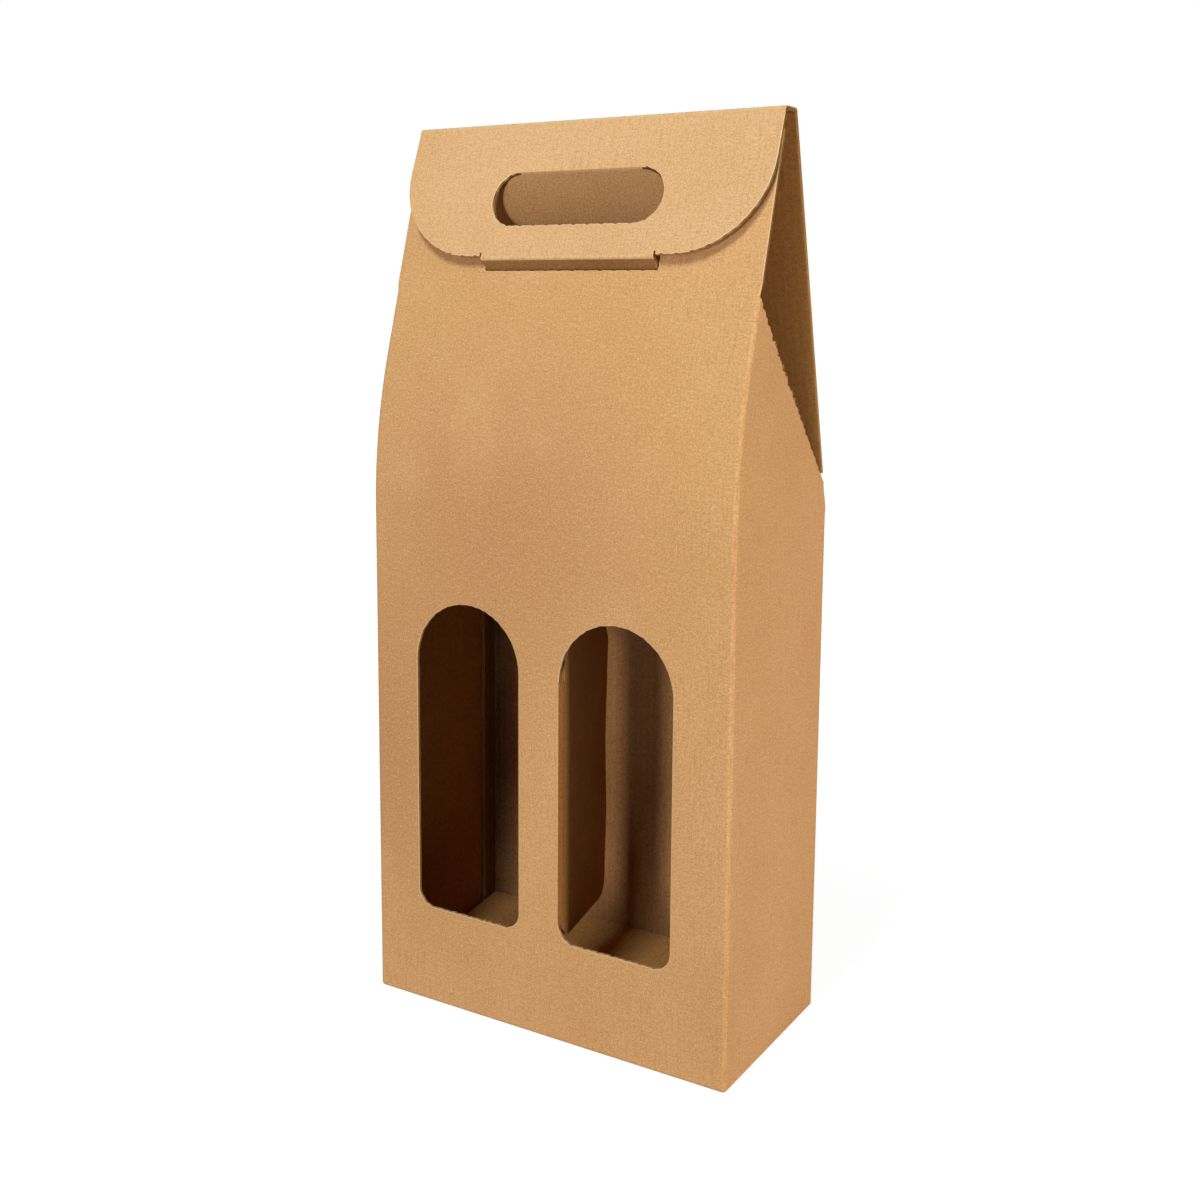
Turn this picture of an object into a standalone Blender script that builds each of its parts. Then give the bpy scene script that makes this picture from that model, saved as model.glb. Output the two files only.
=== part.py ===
"""Windowed bottle box: a kraft board carton for two bottles, folded from one die-cut blank.

Metres, +X along the front, +Y into the depth, +Z up. The origin is the bottom centre.
The carton has two arched windows in its front, a divider folded in from the right window,
a snap-lock bottom, and a top that rises as one slope at the back, a narrow ridge, and a
closing flap with a handle hole whose lock tab drops into a slot of the front.
"""
import math

import bmesh
import bpy
from mathutils import Vector

# Board
BOARD = 0.0016
GAP = 0.0003
CREASE = 0.0002
ARC_STEP = math.radians(9.0)
LIT_KRAFT = (0.62, 0.36, 0.17)
FACE_KRAFT = (0.55, 0.31, 0.14)
SHADE_KRAFT = (0.34, 0.17, 0.07)
INNER_KRAFT = (0.24, 0.11, 0.04)

# Carton body
WIDTH = 0.180
DEPTH = 0.090
SHOULDER_HEIGHT = 0.228
RIDGE_HEIGHT = 0.396

# Ridge, a little in front of the middle
RIDGE_FRONT = 0.0068
RIDGE_WIDTH = 0.0081

# Front, bowed in above the windows and leaning back to the ridge
FRONT_BEND_RISE = 0.0346
FRONT_BOW_RADIUS = 0.250
FRONT_SET_BACK = 0.0001
FRONT_TOP_DROP = 0.009
FRONT_BOW_STEPS = 12

# Closing flap and its lock tab
FLAP_SPREAD = math.radians(3.3)
FLAP_LENGTH = 0.0602
FLAP_CORNER_RADIUS = 0.040
FLAP_EDGE_BESIDE_TAB = 0.0075
TAB_LENGTH = 0.0130
TAB_LEAN = math.radians(45.0)
TAB_CHAMFER = 0.0045
TAB_RELIEF_WIDTH = 0.0012
TAB_RELIEF_DEPTH = 0.0024
SLOT_SIDE_CLEARANCE = 0.0005
SLOT_HEADROOM = 0.0035

# Handle hole in the closing flap, its tongue, and the larger hole behind it
HANDLE_WIDTH = 0.0844
HANDLE_HEIGHT = 0.0242
HANDLE_DROP = 0.0221
TONGUE_FOLD = math.radians(37.0)
TONGUE_CLEARANCE = 0.0004
FRONT_HOLE_MARGIN = 0.0018

# Windows
WINDOW_WIDTH = 0.0548
WINDOW_STRIP = 0.0204
WINDOW_OFFSET = -0.0014
WINDOW_SILL = 0.0455
WINDOW_TOP = 0.188
WINDOW_CORNER_RADIUS = 0.008

# Bottle divider, cut from the right window and folded inwards
DIVIDER_FOLD = math.radians(101.5)
DIVIDER_CLEARANCE = 0.0004

# Side gussets, the pointed tops of the side panels, and the relief that the slope leaves them
GUSSET_TIP_DROP = 0.075
GUSSET_TIP_LAND = 0.0012
GUSSET_REAR_RISE = 0.0145
GUSSET_BOW = 0.0008
GUSSET_BOW_POWER = 1.5
GUSSET_FULLEST = 0.6 ** GUSSET_BOW_POWER * 0.4
GUSSET_COLUMNS = 10
GUSSET_ROW_HEIGHT = 0.0065
SLOPE_RELIEF_RISE = 0.0182

# Glued seam
SEAM_WIDTH = 0.0090
SEAM_FOOT = 0.0050
SEAM_CHAMFER = 0.0060

# Snap-lock bottom
FLOOR_RISE = 0.0100
SIDE_FLAP_REACH = 0.046
SIDE_FLAP_TAPER = 0.018
BACK_FLAP_SET_BACK = 0.0042
BACK_FLAP_TAPER = 0.010
BACK_FLAP_EDGE_BESIDE_TONGUE = 0.015
LOCK_TONGUE_WIDTH = 0.060
LOCK_TONGUE_HEIGHT = 0.0130
LOCK_TONGUE_CHAMFER = 0.006

# How far a cutter reaches past the board on each side
CUTTER_REACH = 0.006

HALF_WIDTH = WIDTH / 2
HALF_DEPTH = DEPTH / 2
INNER_HALF_WIDTH = HALF_WIDTH - BOARD
INNER_HALF_DEPTH = HALF_DEPTH - BOARD
RIDGE_UNDERSIDE = RIDGE_HEIGHT - BOARD
RIDGE_REAR = RIDGE_WIDTH - RIDGE_FRONT
TAB_WIDTH = WIDTH - 2 * (FLAP_CORNER_RADIUS + FLAP_EDGE_BESIDE_TAB)
LEVEL_RISE = BOARD + GAP
LOCK_TONGUE_Y = -INNER_HALF_DEPTH + BACK_FLAP_SET_BACK - GAP

# The front would bend here if its two straight runs met without the bow
FRONT_BEND = SHOULDER_HEIGHT + FRONT_BEND_RISE
FRONT_REACH = HALF_DEPTH - RIDGE_FRONT + FRONT_SET_BACK
FRONT_LEAN = math.atan2(FRONT_REACH, RIDGE_UNDERSIDE - FRONT_BEND)
FRONT_BOW_START = FRONT_BEND - FRONT_BOW_RADIUS * math.tan(FRONT_LEAN / 2)
FRONT_TOP = RIDGE_HEIGHT - FRONT_TOP_DROP
FLAP_LEAN = FRONT_LEAN + FLAP_SPREAD
BACK_LEAN = math.atan2(INNER_HALF_DEPTH - RIDGE_REAR, RIDGE_UNDERSIDE - SHOULDER_HEIGHT)
GUSSET_TIP_HEIGHT = RIDGE_HEIGHT - GUSSET_TIP_DROP
GUSSET_REAR_HEIGHT = SHOULDER_HEIGHT + GUSSET_REAR_RISE


def remove_everything():
    """Empties the scene."""
    for item in list(bpy.data.objects):
        bpy.data.objects.remove(item, do_unlink=True)


def board_material(name, colour, roughness):
    """Plain board finish of one sub-part."""
    material = bpy.data.materials.new(name + "_board")
    material.use_nodes = True
    shader = material.node_tree.nodes["Principled BSDF"]
    shader.inputs["Base Color"].default_value = (*colour, 1.0)
    shader.inputs["Roughness"].default_value = roughness
    shader.inputs["Metallic"].default_value = 0.0
    material.diffuse_color = (*colour, 1.0)
    return material


def place(mesh_data, name, colour, roughness=0.85):
    """Makes a named object of a closed bmesh, with its own material."""
    bmesh.ops.recalc_face_normals(mesh_data, faces=mesh_data.faces)
    mesh = bpy.data.meshes.new(name)
    mesh_data.to_mesh(mesh)
    mesh_data.free()
    item = bpy.data.objects.new(name, mesh)
    item.data.materials.append(board_material(name, colour, roughness))
    bpy.context.scene.collection.objects.link(item)
    return item


def hang(item, parent, location, turn_x=0.0, turn_z=0.0):
    """Puts an object at its crease, in its parent's frame."""
    item.parent = parent
    item.location = location
    item.rotation_euler = (turn_x, 0.0, turn_z)
    return item


def as_cutter(item):
    """Keeps an object out of the model and shows it as a wire."""
    item.hide_render = True
    item.display_type = "WIRE"
    return item


def cut(item, cutter):
    """Takes the cutter's shape out of an object."""
    modifier = item.modifiers.new("cut_" + cutter.name, "BOOLEAN")
    modifier.operation = "DIFFERENCE"
    modifier.solver = "EXACT"
    modifier.object = cutter


def arc(centre, radius, start, end):
    """Points of an arc, both ends included; the angles run from +X towards the second axis."""
    steps = max(2, round(abs(end - start) / ARC_STEP))
    angles = [start + (end - start) * i / steps for i in range(steps + 1)]
    return [(centre[0] + radius * math.cos(a), centre[1] + radius * math.sin(a)) for a in angles]


def sheet(outline, near, far, plane="XZ"):
    """Board of an outline; near and far are its two faces across the outline's plane."""
    mesh_data = bmesh.new()
    rims = []
    for level in (near, far):
        if plane == "XZ":
            points = [(a, level, b) for a, b in outline]
        elif plane == "YZ":
            points = [(level, a, b) for a, b in outline]
        else:
            points = [(a, b, level) for a, b in outline]
        rims.append([mesh_data.verts.new(point) for point in points])
    count = len(outline)
    mesh_data.faces.new(rims[0])
    mesh_data.faces.new(list(reversed(rims[1])))
    for i in range(count):
        j = (i + 1) % count
        mesh_data.faces.new((rims[0][j], rims[0][i], rims[1][i], rims[1][j]))
    return mesh_data


def obround(width, height, centre_height):
    """Outline with straight top and bottom and half-round ends."""
    radius = height / 2
    reach = width / 2 - radius
    right = arc((reach, centre_height), radius, -math.pi / 2, math.pi / 2)
    left = arc((-reach, centre_height), radius, math.pi / 2, 3 * math.pi / 2)
    return right + left


def window_outline(left, inset):
    """Arched window outline, its left edge at the given place, drawn in by the inset."""
    radius = WINDOW_WIDTH / 2
    middle = left + radius
    spring = WINDOW_TOP - radius
    low = WINDOW_SILL + WINDOW_CORNER_RADIUS
    corner = WINDOW_CORNER_RADIUS - inset
    reach = radius - WINDOW_CORNER_RADIUS
    points = arc((middle, spring), radius - inset, 0.0, math.pi)
    points += arc((middle - reach, low), corner, math.pi, 3 * math.pi / 2)
    points += arc((middle + reach, low), corner, 3 * math.pi / 2, 2 * math.pi)
    return points


def front_bow_end():
    """Place and height of the outer face where the bow passes into the straight lean."""
    height = FRONT_BOW_START + FRONT_BOW_RADIUS * math.sin(FRONT_LEAN)
    place_y = -HALF_DEPTH + FRONT_BOW_RADIUS * (1.0 - math.cos(FRONT_LEAN))
    return place_y, height


def front_y(height, depth=0.0):
    """Y of the front's face at a height; depth goes in from the outer face to the inner."""
    end_y, end_z = front_bow_end()
    centre_y = -HALF_DEPTH + FRONT_BOW_RADIUS
    radius = FRONT_BOW_RADIUS - depth
    if height <= FRONT_BOW_START:
        return -HALF_DEPTH + depth
    if height < FRONT_BOW_START + radius * math.sin(FRONT_LEAN):
        return centre_y - math.sqrt(radius ** 2 - (height - FRONT_BOW_START) ** 2)
    slope = math.tan(FRONT_LEAN)
    return end_y + (height - end_z) * slope + depth / math.cos(FRONT_LEAN)


def front_profile(depth):
    """Section of the front from its foot to its top, at a depth from the outer face."""
    centre = (-HALF_DEPTH + FRONT_BOW_RADIUS, FRONT_BOW_START)
    radius = FRONT_BOW_RADIUS - depth
    points = [(-HALF_DEPTH + depth, 0.0)]
    for i in range(FRONT_BOW_STEPS + 1):
        angle = FRONT_LEAN * i / FRONT_BOW_STEPS
        points.append((centre[0] - radius * math.cos(angle), centre[1] + radius * math.sin(angle)))
    top_y = front_y(FRONT_TOP) + depth * math.cos(FRONT_LEAN)
    points.append((top_y, FRONT_TOP - depth * math.sin(FRONT_LEAN)))
    return points


def swept_panel(outer, inner, outer_half, inner_half):
    """Wall swept along X between two sections, with mitred ends."""
    mesh_data = bmesh.new()
    rails = []
    for points, half in ((outer, outer_half), (inner, inner_half)):
        for side in (-half, half):
            rails.append([mesh_data.verts.new((side, y, z)) for y, z in points])
    outer_left, outer_right, inner_left, inner_right = rails
    loop = (outer_left, outer_right, inner_right, inner_left)
    for a, b in zip(loop, loop[1:] + loop[:1]):
        for i in range(len(outer) - 1):
            mesh_data.faces.new((a[i], b[i], b[i + 1], a[i + 1]))
    mesh_data.faces.new([rail[0] for rail in reversed(loop)])
    mesh_data.faces.new([rail[-1] for rail in loop])
    return mesh_data


def back_top_inner_y(height):
    """Y of the back slope's inner face at a height above the shoulder."""
    return INNER_HALF_DEPTH - (height - SHOULDER_HEIGHT) * math.tan(BACK_LEAN)


def gusset_rear_y(height):
    """Y of the side panel's edge beside the back slope, level with the slope's outer face."""
    slope_face = back_top_inner_y(height) + BOARD / math.cos(BACK_LEAN)
    return min(HALF_DEPTH, slope_face) - CREASE


def gusset_cut_y(height, depth):
    """Y of the gusset's free edge, a straight cut from its tip down to the back slope."""
    tip_y = front_y(GUSSET_TIP_HEIGHT) + CREASE + GUSSET_TIP_LAND
    rear_y = gusset_rear_y(GUSSET_REAR_HEIGHT)
    share = (height - GUSSET_REAR_HEIGHT) / (GUSSET_TIP_HEIGHT - GUSSET_REAR_HEIGHT)
    return rear_y + (tip_y + depth - rear_y) * share


def gusset_bow(y, height):
    """How far the gusset bows inwards: nothing along its creases, most at its free edge."""
    span = gusset_rear_y(GUSSET_REAR_HEIGHT) + HALF_DEPTH
    across = max(0.0, (y - front_y(height)) / span)
    foot = SHOULDER_HEIGHT + (GUSSET_REAR_HEIGHT - SHOULDER_HEIGHT) * (y + HALF_DEPTH) / span
    rise = max(0.0, (height - foot) / (GUSSET_TIP_HEIGHT - SHOULDER_HEIGHT))
    return GUSSET_BOW * rise ** GUSSET_BOW_POWER * across / GUSSET_FULLEST


def side_rows():
    """Heights of a side panel's rows, close together where the panel bows."""
    rows = [0.0, SHOULDER_HEIGHT / 2, SHOULDER_HEIGHT]
    start = SHOULDER_HEIGHT + CREASE
    for low, high in ((start, GUSSET_REAR_HEIGHT), (GUSSET_REAR_HEIGHT, GUSSET_TIP_HEIGHT)):
        steps = math.ceil((high - low) / GUSSET_ROW_HEIGHT)
        rows += [low + (high - low) * i / steps for i in range(steps)]
    return rows + [GUSSET_TIP_HEIGHT]


def side_panel(name, side):
    """Side wall with its gusset, lofted between its outer and its inner face."""
    mesh_data = bmesh.new()
    faces = []
    for depth in (0.0, BOARD):
        grid = []
        for z in side_rows():
            start = front_y(z, depth) + CREASE
            if z <= SHOULDER_HEIGHT:
                end = HALF_DEPTH - depth - CREASE
            elif z < GUSSET_REAR_HEIGHT:
                end = gusset_rear_y(z)
            else:
                end = gusset_cut_y(z, depth)
            row = []
            for column in range(GUSSET_COLUMNS + 1):
                y = start + (end - start) * column / GUSSET_COLUMNS
                x = HALF_WIDTH - depth - gusset_bow(y, z)
                row.append(mesh_data.verts.new((side * x, y, z)))
            grid.append(row)
        faces.append(grid)
    outer, inner = faces
    for grid in faces:
        for low, high in zip(grid, grid[1:]):
            for i in range(GUSSET_COLUMNS):
                mesh_data.faces.new((low[i], low[i + 1], high[i + 1], high[i]))
    for i in range(len(outer) - 1):
        for column in (0, GUSSET_COLUMNS):
            rim = (outer[i][column], outer[i + 1][column], inner[i + 1][column], inner[i][column])
            mesh_data.faces.new(rim)
    for row in (0, -1):
        for i in range(GUSSET_COLUMNS):
            rim = (outer[row][i], outer[row][i + 1], inner[row][i + 1], inner[row][i])
            mesh_data.faces.new(rim)
    return place(mesh_data, name, FACE_KRAFT)


def window_lefts():
    """X of the two windows' left edges."""
    middle = WINDOW_OFFSET
    return middle - WINDOW_STRIP / 2 - WINDOW_WIDTH, middle + WINDOW_STRIP / 2


def front_panel():
    """Front wall with both windows, the tab's slot and the hole behind the handle."""
    outer_half = HALF_WIDTH - CREASE
    wall = swept_panel(front_profile(0.0), front_profile(BOARD), outer_half, outer_half - BOARD)
    item = place(wall, "front_panel", FACE_KRAFT)
    for label, left in zip(("left", "right"), window_lefts()):
        near, far = -HALF_DEPTH - CUTTER_REACH, -HALF_DEPTH + CUTTER_REACH
        shape = sheet(window_outline(left, 0.0), near, far)
        cut(item, as_cutter(place(shape, label + "_window_cut", SHADE_KRAFT)))
    return item


def cut_slot(front, tab):
    """Slot of the front: its lip lies along the tab at rest, its top is cut square."""
    turn = tab.matrix_world
    half = TAB_WIDTH / 2 + SLOT_SIDE_CLEARANCE
    lip_near = turn @ Vector((0.0, LEVEL_RISE, -CUTTER_REACH))
    lip_far = turn @ Vector((0.0, LEVEL_RISE, 2 * CUTTER_REACH))
    rise = SLOT_HEADROOM + LEVEL_RISE
    up = Vector((0.0, math.sin(FRONT_LEAN), math.cos(FRONT_LEAN)))
    top_near = lip_near + up * rise
    top_far = lip_far + up * (rise + (lip_near - lip_far).dot(up))
    outline = [(point.y, point.z) for point in (lip_near, lip_far, top_far, top_near)]
    cut(front, as_cutter(place(sheet(outline, -half, half, "YZ"), "slot_cut", SHADE_KRAFT)))


def cut_front_hole(front, hole_centre):
    """Hole of the front behind the handle, larger all round so that the tongue passes."""
    margin = 2 * FRONT_HOLE_MARGIN
    outline = obround(HANDLE_WIDTH + margin, HANDLE_HEIGHT + margin, 0.0)
    shape = sheet(outline, -CUTTER_REACH, CUTTER_REACH)
    cutter = as_cutter(place(shape, "front_hole_cut", SHADE_KRAFT))
    cutter.location = (0.0, front_y(hole_centre), hole_centre)
    cutter.rotation_euler = (-FRONT_LEAN, 0.0, 0.0)
    cut(front, cutter)


def back_panel():
    """Back wall, mitred to the side walls and to the bottom."""
    outer = [(HALF_DEPTH, CREASE), (HALF_DEPTH, SHOULDER_HEIGHT - CREASE)]
    inner = [(INNER_HALF_DEPTH, BOARD + CREASE), (INNER_HALF_DEPTH, SHOULDER_HEIGHT - CREASE)]
    outer_half = HALF_WIDTH - CREASE
    wall = swept_panel(outer, inner, outer_half, outer_half - BOARD)
    return place(wall, "back_panel", INNER_KRAFT)


def glue_seam_strip():
    """Strip of the blank's end, glued inside the left wall at the back corner."""
    front_edge = INNER_HALF_DEPTH - CREASE - SEAM_WIDTH
    rear_edge = INNER_HALF_DEPTH - GAP
    top = SHOULDER_HEIGHT - BOARD
    outline = [(front_edge, SEAM_FOOT + SEAM_CHAMFER), (rear_edge, SEAM_FOOT)]
    outline += [(rear_edge, top), (front_edge, top - SEAM_CHAMFER)]
    wall = -INNER_HALF_WIDTH + GAP
    return place(sheet(outline, wall, wall + BOARD, "YZ"), "glue_seam_strip", INNER_KRAFT)


def bottom_back_flap():
    """The lowest flap of the snap-lock bottom, mitred to the back wall."""
    half = INNER_HALF_WIDTH - GAP
    free_edge = -INNER_HALF_DEPTH + BACK_FLAP_SET_BACK
    back = bmesh.new()
    corner_x = LOCK_TONGUE_WIDTH / 2 + BACK_FLAP_EDGE_BESIDE_TONGUE
    corner_y = free_edge + BACK_FLAP_TAPER
    for level, crease_y in ((0.0, HALF_DEPTH - CREASE), (BOARD, INNER_HALF_DEPTH - CREASE)):
        right = [(half, crease_y), (half - BACK_FLAP_TAPER, corner_y), (corner_x, free_edge)]
        left = [(-x, y) for x, y in reversed(right)]
        for x, y in right + left:
            back.verts.new((x, y, level))
    back.verts.ensure_lookup_table()
    count = len(back.verts) // 2
    lower, upper = back.verts[:count], back.verts[count:]
    back.faces.new(lower)
    back.faces.new(upper)
    for i in range(count):
        j = (i + 1) % count
        back.faces.new((lower[i], lower[j], upper[j], upper[i]))
    return place(back, "bottom_back_flap", SHADE_KRAFT)


def bottom_lock_tongue():
    """The tongue that stands up at the front and locks the bottom."""
    half = LOCK_TONGUE_WIDTH / 2
    shoulder = LOCK_TONGUE_HEIGHT - LOCK_TONGUE_CHAMFER
    profile = [(-half, 0.0), (half, 0.0), (half, shoulder)]
    profile += [(half - LOCK_TONGUE_CHAMFER, LOCK_TONGUE_HEIGHT)]
    profile += [(-half + LOCK_TONGUE_CHAMFER, LOCK_TONGUE_HEIGHT), (-half, shoulder)]
    return place(sheet(profile, LOCK_TONGUE_Y - BOARD, LOCK_TONGUE_Y), "bottom_lock_tongue", SHADE_KRAFT)


def bottom_side_flap(name, side):
    """Flap of a side wall, which lies on the back flap."""
    half = INNER_HALF_WIDTH - GAP
    reach = INNER_HALF_DEPTH - 2 * GAP
    wall, inner = side * half, side * (half - SIDE_FLAP_REACH)
    outline = [(wall, -reach), (inner, -reach + SIDE_FLAP_TAPER)]
    outline += [(inner, reach - SIDE_FLAP_TAPER), (wall, reach)]
    return place(sheet(outline, LEVEL_RISE, LEVEL_RISE + BOARD, "XY"), name, SHADE_KRAFT)


def bottom_front_flap():
    """The floor that the bottles stand on, with the slit for the lock tongue."""
    slope = math.atan2(FLOOR_RISE, 2 * INNER_HALF_DEPTH)
    length = (2 * INNER_HALF_DEPTH - 2 * GAP) / math.cos(slope) - BOARD * math.tan(slope)
    floor_half = INNER_HALF_WIDTH - BOARD - 2 * GAP
    outline = [(-floor_half, 0.0), (floor_half, 0.0), (floor_half, length), (-floor_half, length)]
    floor = place(sheet(outline, 0.0, BOARD, "XY"), "bottom_front_flap", INNER_KRAFT)
    floor.location = (0.0, -INNER_HALF_DEPTH + GAP + BOARD * math.sin(slope), 2 * LEVEL_RISE)
    floor.rotation_euler = (slope, 0.0, 0.0)
    room = 2 * GAP
    slit_half = LOCK_TONGUE_WIDTH / 2 + room
    near, far = LOCK_TONGUE_Y - BOARD - room, LOCK_TONGUE_Y + room
    slit = [(-slit_half, near), (slit_half, near), (slit_half, far), (-slit_half, far)]
    cut(floor, as_cutter(place(sheet(slit, 0.0, LOCK_TONGUE_HEIGHT, "XY"), "slit_cut", SHADE_KRAFT)))


def bottle_divider():
    """Cut-out of the right window, still hinged on the window's left edge."""
    outline = window_outline(0.0, DIVIDER_CLEARANCE)
    item = place(sheet(outline, -BOARD, 0.0), "bottle_divider", INNER_KRAFT)
    hinge = Vector((window_lefts()[1], -INNER_HALF_DEPTH, 0.0))
    return hang(item, None, hinge, turn_z=DIVIDER_FOLD)


def folded_top():
    """Back slope, ridge, closing flap, tab and tongue, each hung on its own crease."""
    slope_length = (RIDGE_UNDERSIDE - SHOULDER_HEIGHT) / math.cos(BACK_LEAN)

    narrow, relief = INNER_HALF_WIDTH - GAP, SLOPE_RELIEF_RISE / math.cos(BACK_LEAN)
    right = [(narrow, CREASE), (narrow, relief), (HALF_WIDTH, relief)]
    right += [(HALF_WIDTH, slope_length - CREASE)]
    outline = right + [(-x, z) for x, z in reversed(right)]
    slope = place(sheet(outline, 0.0, BOARD), "back_top_panel", SHADE_KRAFT)
    hang(slope, None, (0.0, INNER_HALF_DEPTH, SHOULDER_HEIGHT), BACK_LEAN)

    outline = [(-HALF_WIDTH, CREASE), (HALF_WIDTH, CREASE)]
    outline += [(HALF_WIDTH, RIDGE_WIDTH - CREASE), (-HALF_WIDTH, RIDGE_WIDTH - CREASE)]
    ridge = place(sheet(outline, 0.0, BOARD), "ridge_strip", LIT_KRAFT)
    hang(ridge, slope, (0.0, 0.0, slope_length), math.pi / 2 - BACK_LEAN)

    flap = place(sheet(flap_outline(), 0.0, BOARD), "closing_flap", LIT_KRAFT)
    hang(flap, ridge, (0.0, 0.0, RIDGE_WIDTH), math.pi / 2 - FLAP_LEAN)
    hole_middle = HANDLE_DROP + HANDLE_HEIGHT / 2
    shape = sheet(obround(HANDLE_WIDTH, HANDLE_HEIGHT, hole_middle), -CUTTER_REACH, CUTTER_REACH)
    hole = as_cutter(place(shape, "handle_cut", SHADE_KRAFT))
    hang(hole, flap, (0.0, 0.0, 0.0))
    cut(flap, hole)

    clear = 2 * TONGUE_CLEARANCE
    outline = obround(HANDLE_WIDTH - clear, HANDLE_HEIGHT - clear, HANDLE_HEIGHT / 2)
    tongue = place(sheet(outline, 0.0, BOARD), "handle_tongue", SHADE_KRAFT)
    hang(tongue, flap, (0.0, 0.0, HANDLE_DROP), TONGUE_FOLD)

    half = TAB_WIDTH / 2
    shoulder = TAB_LENGTH - TAB_CHAMFER
    outline = [(-half, CREASE), (half, CREASE), (half, shoulder), (half - TAB_CHAMFER, TAB_LENGTH)]
    outline += [(-half + TAB_CHAMFER, TAB_LENGTH), (-half, shoulder)]
    tab = place(sheet(outline, 0.0, BOARD), "lock_tab", SHADE_KRAFT)
    hang(tab, flap, (0.0, 0.0, FLAP_LENGTH), FLAP_LEAN + TAB_LEAN)

    bpy.context.view_layer.update()
    return flap, tab, flap.matrix_world @ Vector((0.0, 0.0, hole_middle))


def flap_outline():
    """Closing flap: large lower corners, and a relief notch at each end of the tab's crease."""
    length = FLAP_LENGTH - CREASE
    side = HALF_WIDTH - FLAP_CORNER_RADIUS
    corner_height = length - FLAP_CORNER_RADIUS
    near = TAB_WIDTH / 2
    far = near + TAB_RELIEF_WIDTH
    notch = length - TAB_RELIEF_DEPTH
    right = [(HALF_WIDTH, CREASE)]
    right += arc((side, corner_height), FLAP_CORNER_RADIUS, 0.0, math.pi / 2)
    right += [(far, length), (far, notch), (near, notch), (near, length)]
    return right + [(-x, z) for x, z in reversed(right)]


def main():
    """Builds every sub-part at rest, closed as it stands on a shelf."""
    remove_everything()
    front = front_panel()
    back_panel()
    side_panel("left_side_panel", -1)
    side_panel("right_side_panel", 1)
    glue_seam_strip()
    bottom_back_flap()
    bottom_lock_tongue()
    bottom_side_flap("bottom_left_flap", -1)
    bottom_side_flap("bottom_right_flap", 1)
    bottom_front_flap()
    bottle_divider()
    flap, tab, hole_centre = folded_top()
    cut_slot(front, tab)
    cut_front_hole(front, hole_centre.z)


main()
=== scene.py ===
"""Kraft board carton for two bottles, dressed as real single-wall corrugated board.

Every panel is laid out flat, in millimetres of the die-cut blank: u runs across the flutes,
v along them and d into the board from its outer face. It gets an outer liner, a fluted
medium and an inner liner, its cut edges are crushed and toothed by the flutes, and it is
then folded to its place in the carton. What is drawn on the board follows the blank.
"""
import logging
import math
from contextlib import contextmanager
from dataclasses import dataclass, field, replace
from enum import Enum
from typing import Any, Callable, Iterator, Sequence

import bpy
import numpy as np
from mathutils import Matrix, Vector
from mathutils.kdtree import KDTree


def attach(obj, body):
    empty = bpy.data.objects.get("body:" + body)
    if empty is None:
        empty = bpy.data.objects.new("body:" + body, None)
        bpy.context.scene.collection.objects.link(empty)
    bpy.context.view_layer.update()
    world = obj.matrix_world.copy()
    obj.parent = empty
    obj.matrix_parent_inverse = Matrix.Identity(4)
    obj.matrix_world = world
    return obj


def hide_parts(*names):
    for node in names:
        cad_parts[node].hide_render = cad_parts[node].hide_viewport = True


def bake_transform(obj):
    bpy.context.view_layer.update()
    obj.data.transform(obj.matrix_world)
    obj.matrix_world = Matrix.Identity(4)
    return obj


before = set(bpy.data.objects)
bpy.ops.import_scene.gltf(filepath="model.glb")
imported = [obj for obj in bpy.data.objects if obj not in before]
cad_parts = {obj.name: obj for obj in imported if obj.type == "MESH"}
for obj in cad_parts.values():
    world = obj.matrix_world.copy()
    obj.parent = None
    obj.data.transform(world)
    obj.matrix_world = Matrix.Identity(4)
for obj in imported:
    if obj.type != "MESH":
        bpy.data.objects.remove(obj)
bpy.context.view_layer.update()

log = logging.getLogger("carton")

MM = 0.001
QUARTER = math.pi / 2
Piece = bpy.types.Object
Tree = bpy.types.NodeTree
Socket = bpy.types.NodeSocket
Values = np.ndarray
Pair = tuple[float, float]
Point = Pair
Place = tuple[float, float, float]
Loop = list[Point]
Folded = tuple[Values, Values]
Rolled = tuple[Values, Values, Values]
Fold = Callable[[Values, Values, Values], Folded]
Mask = Callable[[Values, Values], Values]
X, Y, Z = (1.0, 0.0, 0.0), (0.0, 1.0, 0.0), (0.0, 0.0, 1.0)


class Side(Enum):
    """The two sides of the carton, seen from its front."""

    LEFT = -1
    RIGHT = 1


class Finish(Enum):
    """The papers that show on the carton, each with the name of its material. Some are lighter copies
    of the outside and inside papers, which are painted light, and some are darker copies, which are
    painted shade.
    """

    OUTSIDE = "kraft_liner_outside"
    TOP = "kraft_liner_outside_lit_top"
    SLOPE = "kraft_liner_outside_lit_slope"
    INSIDE = "kraft_liner_inside"
    FLOOR = "kraft_liner_inside_shaded_floor"
    LEFT = "kraft_liner_inside_shaded_left"
    SEAM = "kraft_liner_inside_shaded_seam"
    BACK = "kraft_liner_inside_lit_back_with_shadow"
    LIGHT = "kraft_liner_inside_painted_light"
    SHADED_TONGUE = "kraft_liner_shaded_tongue"
    SHADED_TAB = "kraft_liner_shaded_tab"
    SHADED_SCORE = "crushed_kraft_score_and_shade"
    MEDIUM = "recycled_fluting_medium"
    TORN = "torn_kraft_fibre"

    def material(self) -> bpy.types.Material:
        """The paper's material, made at its first use and then shared."""
        return bpy.data.materials.get(self.value) or KRAFT_PAPERS[self].material(self.value)


# ---------------------------------------------------------------- bench


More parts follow.
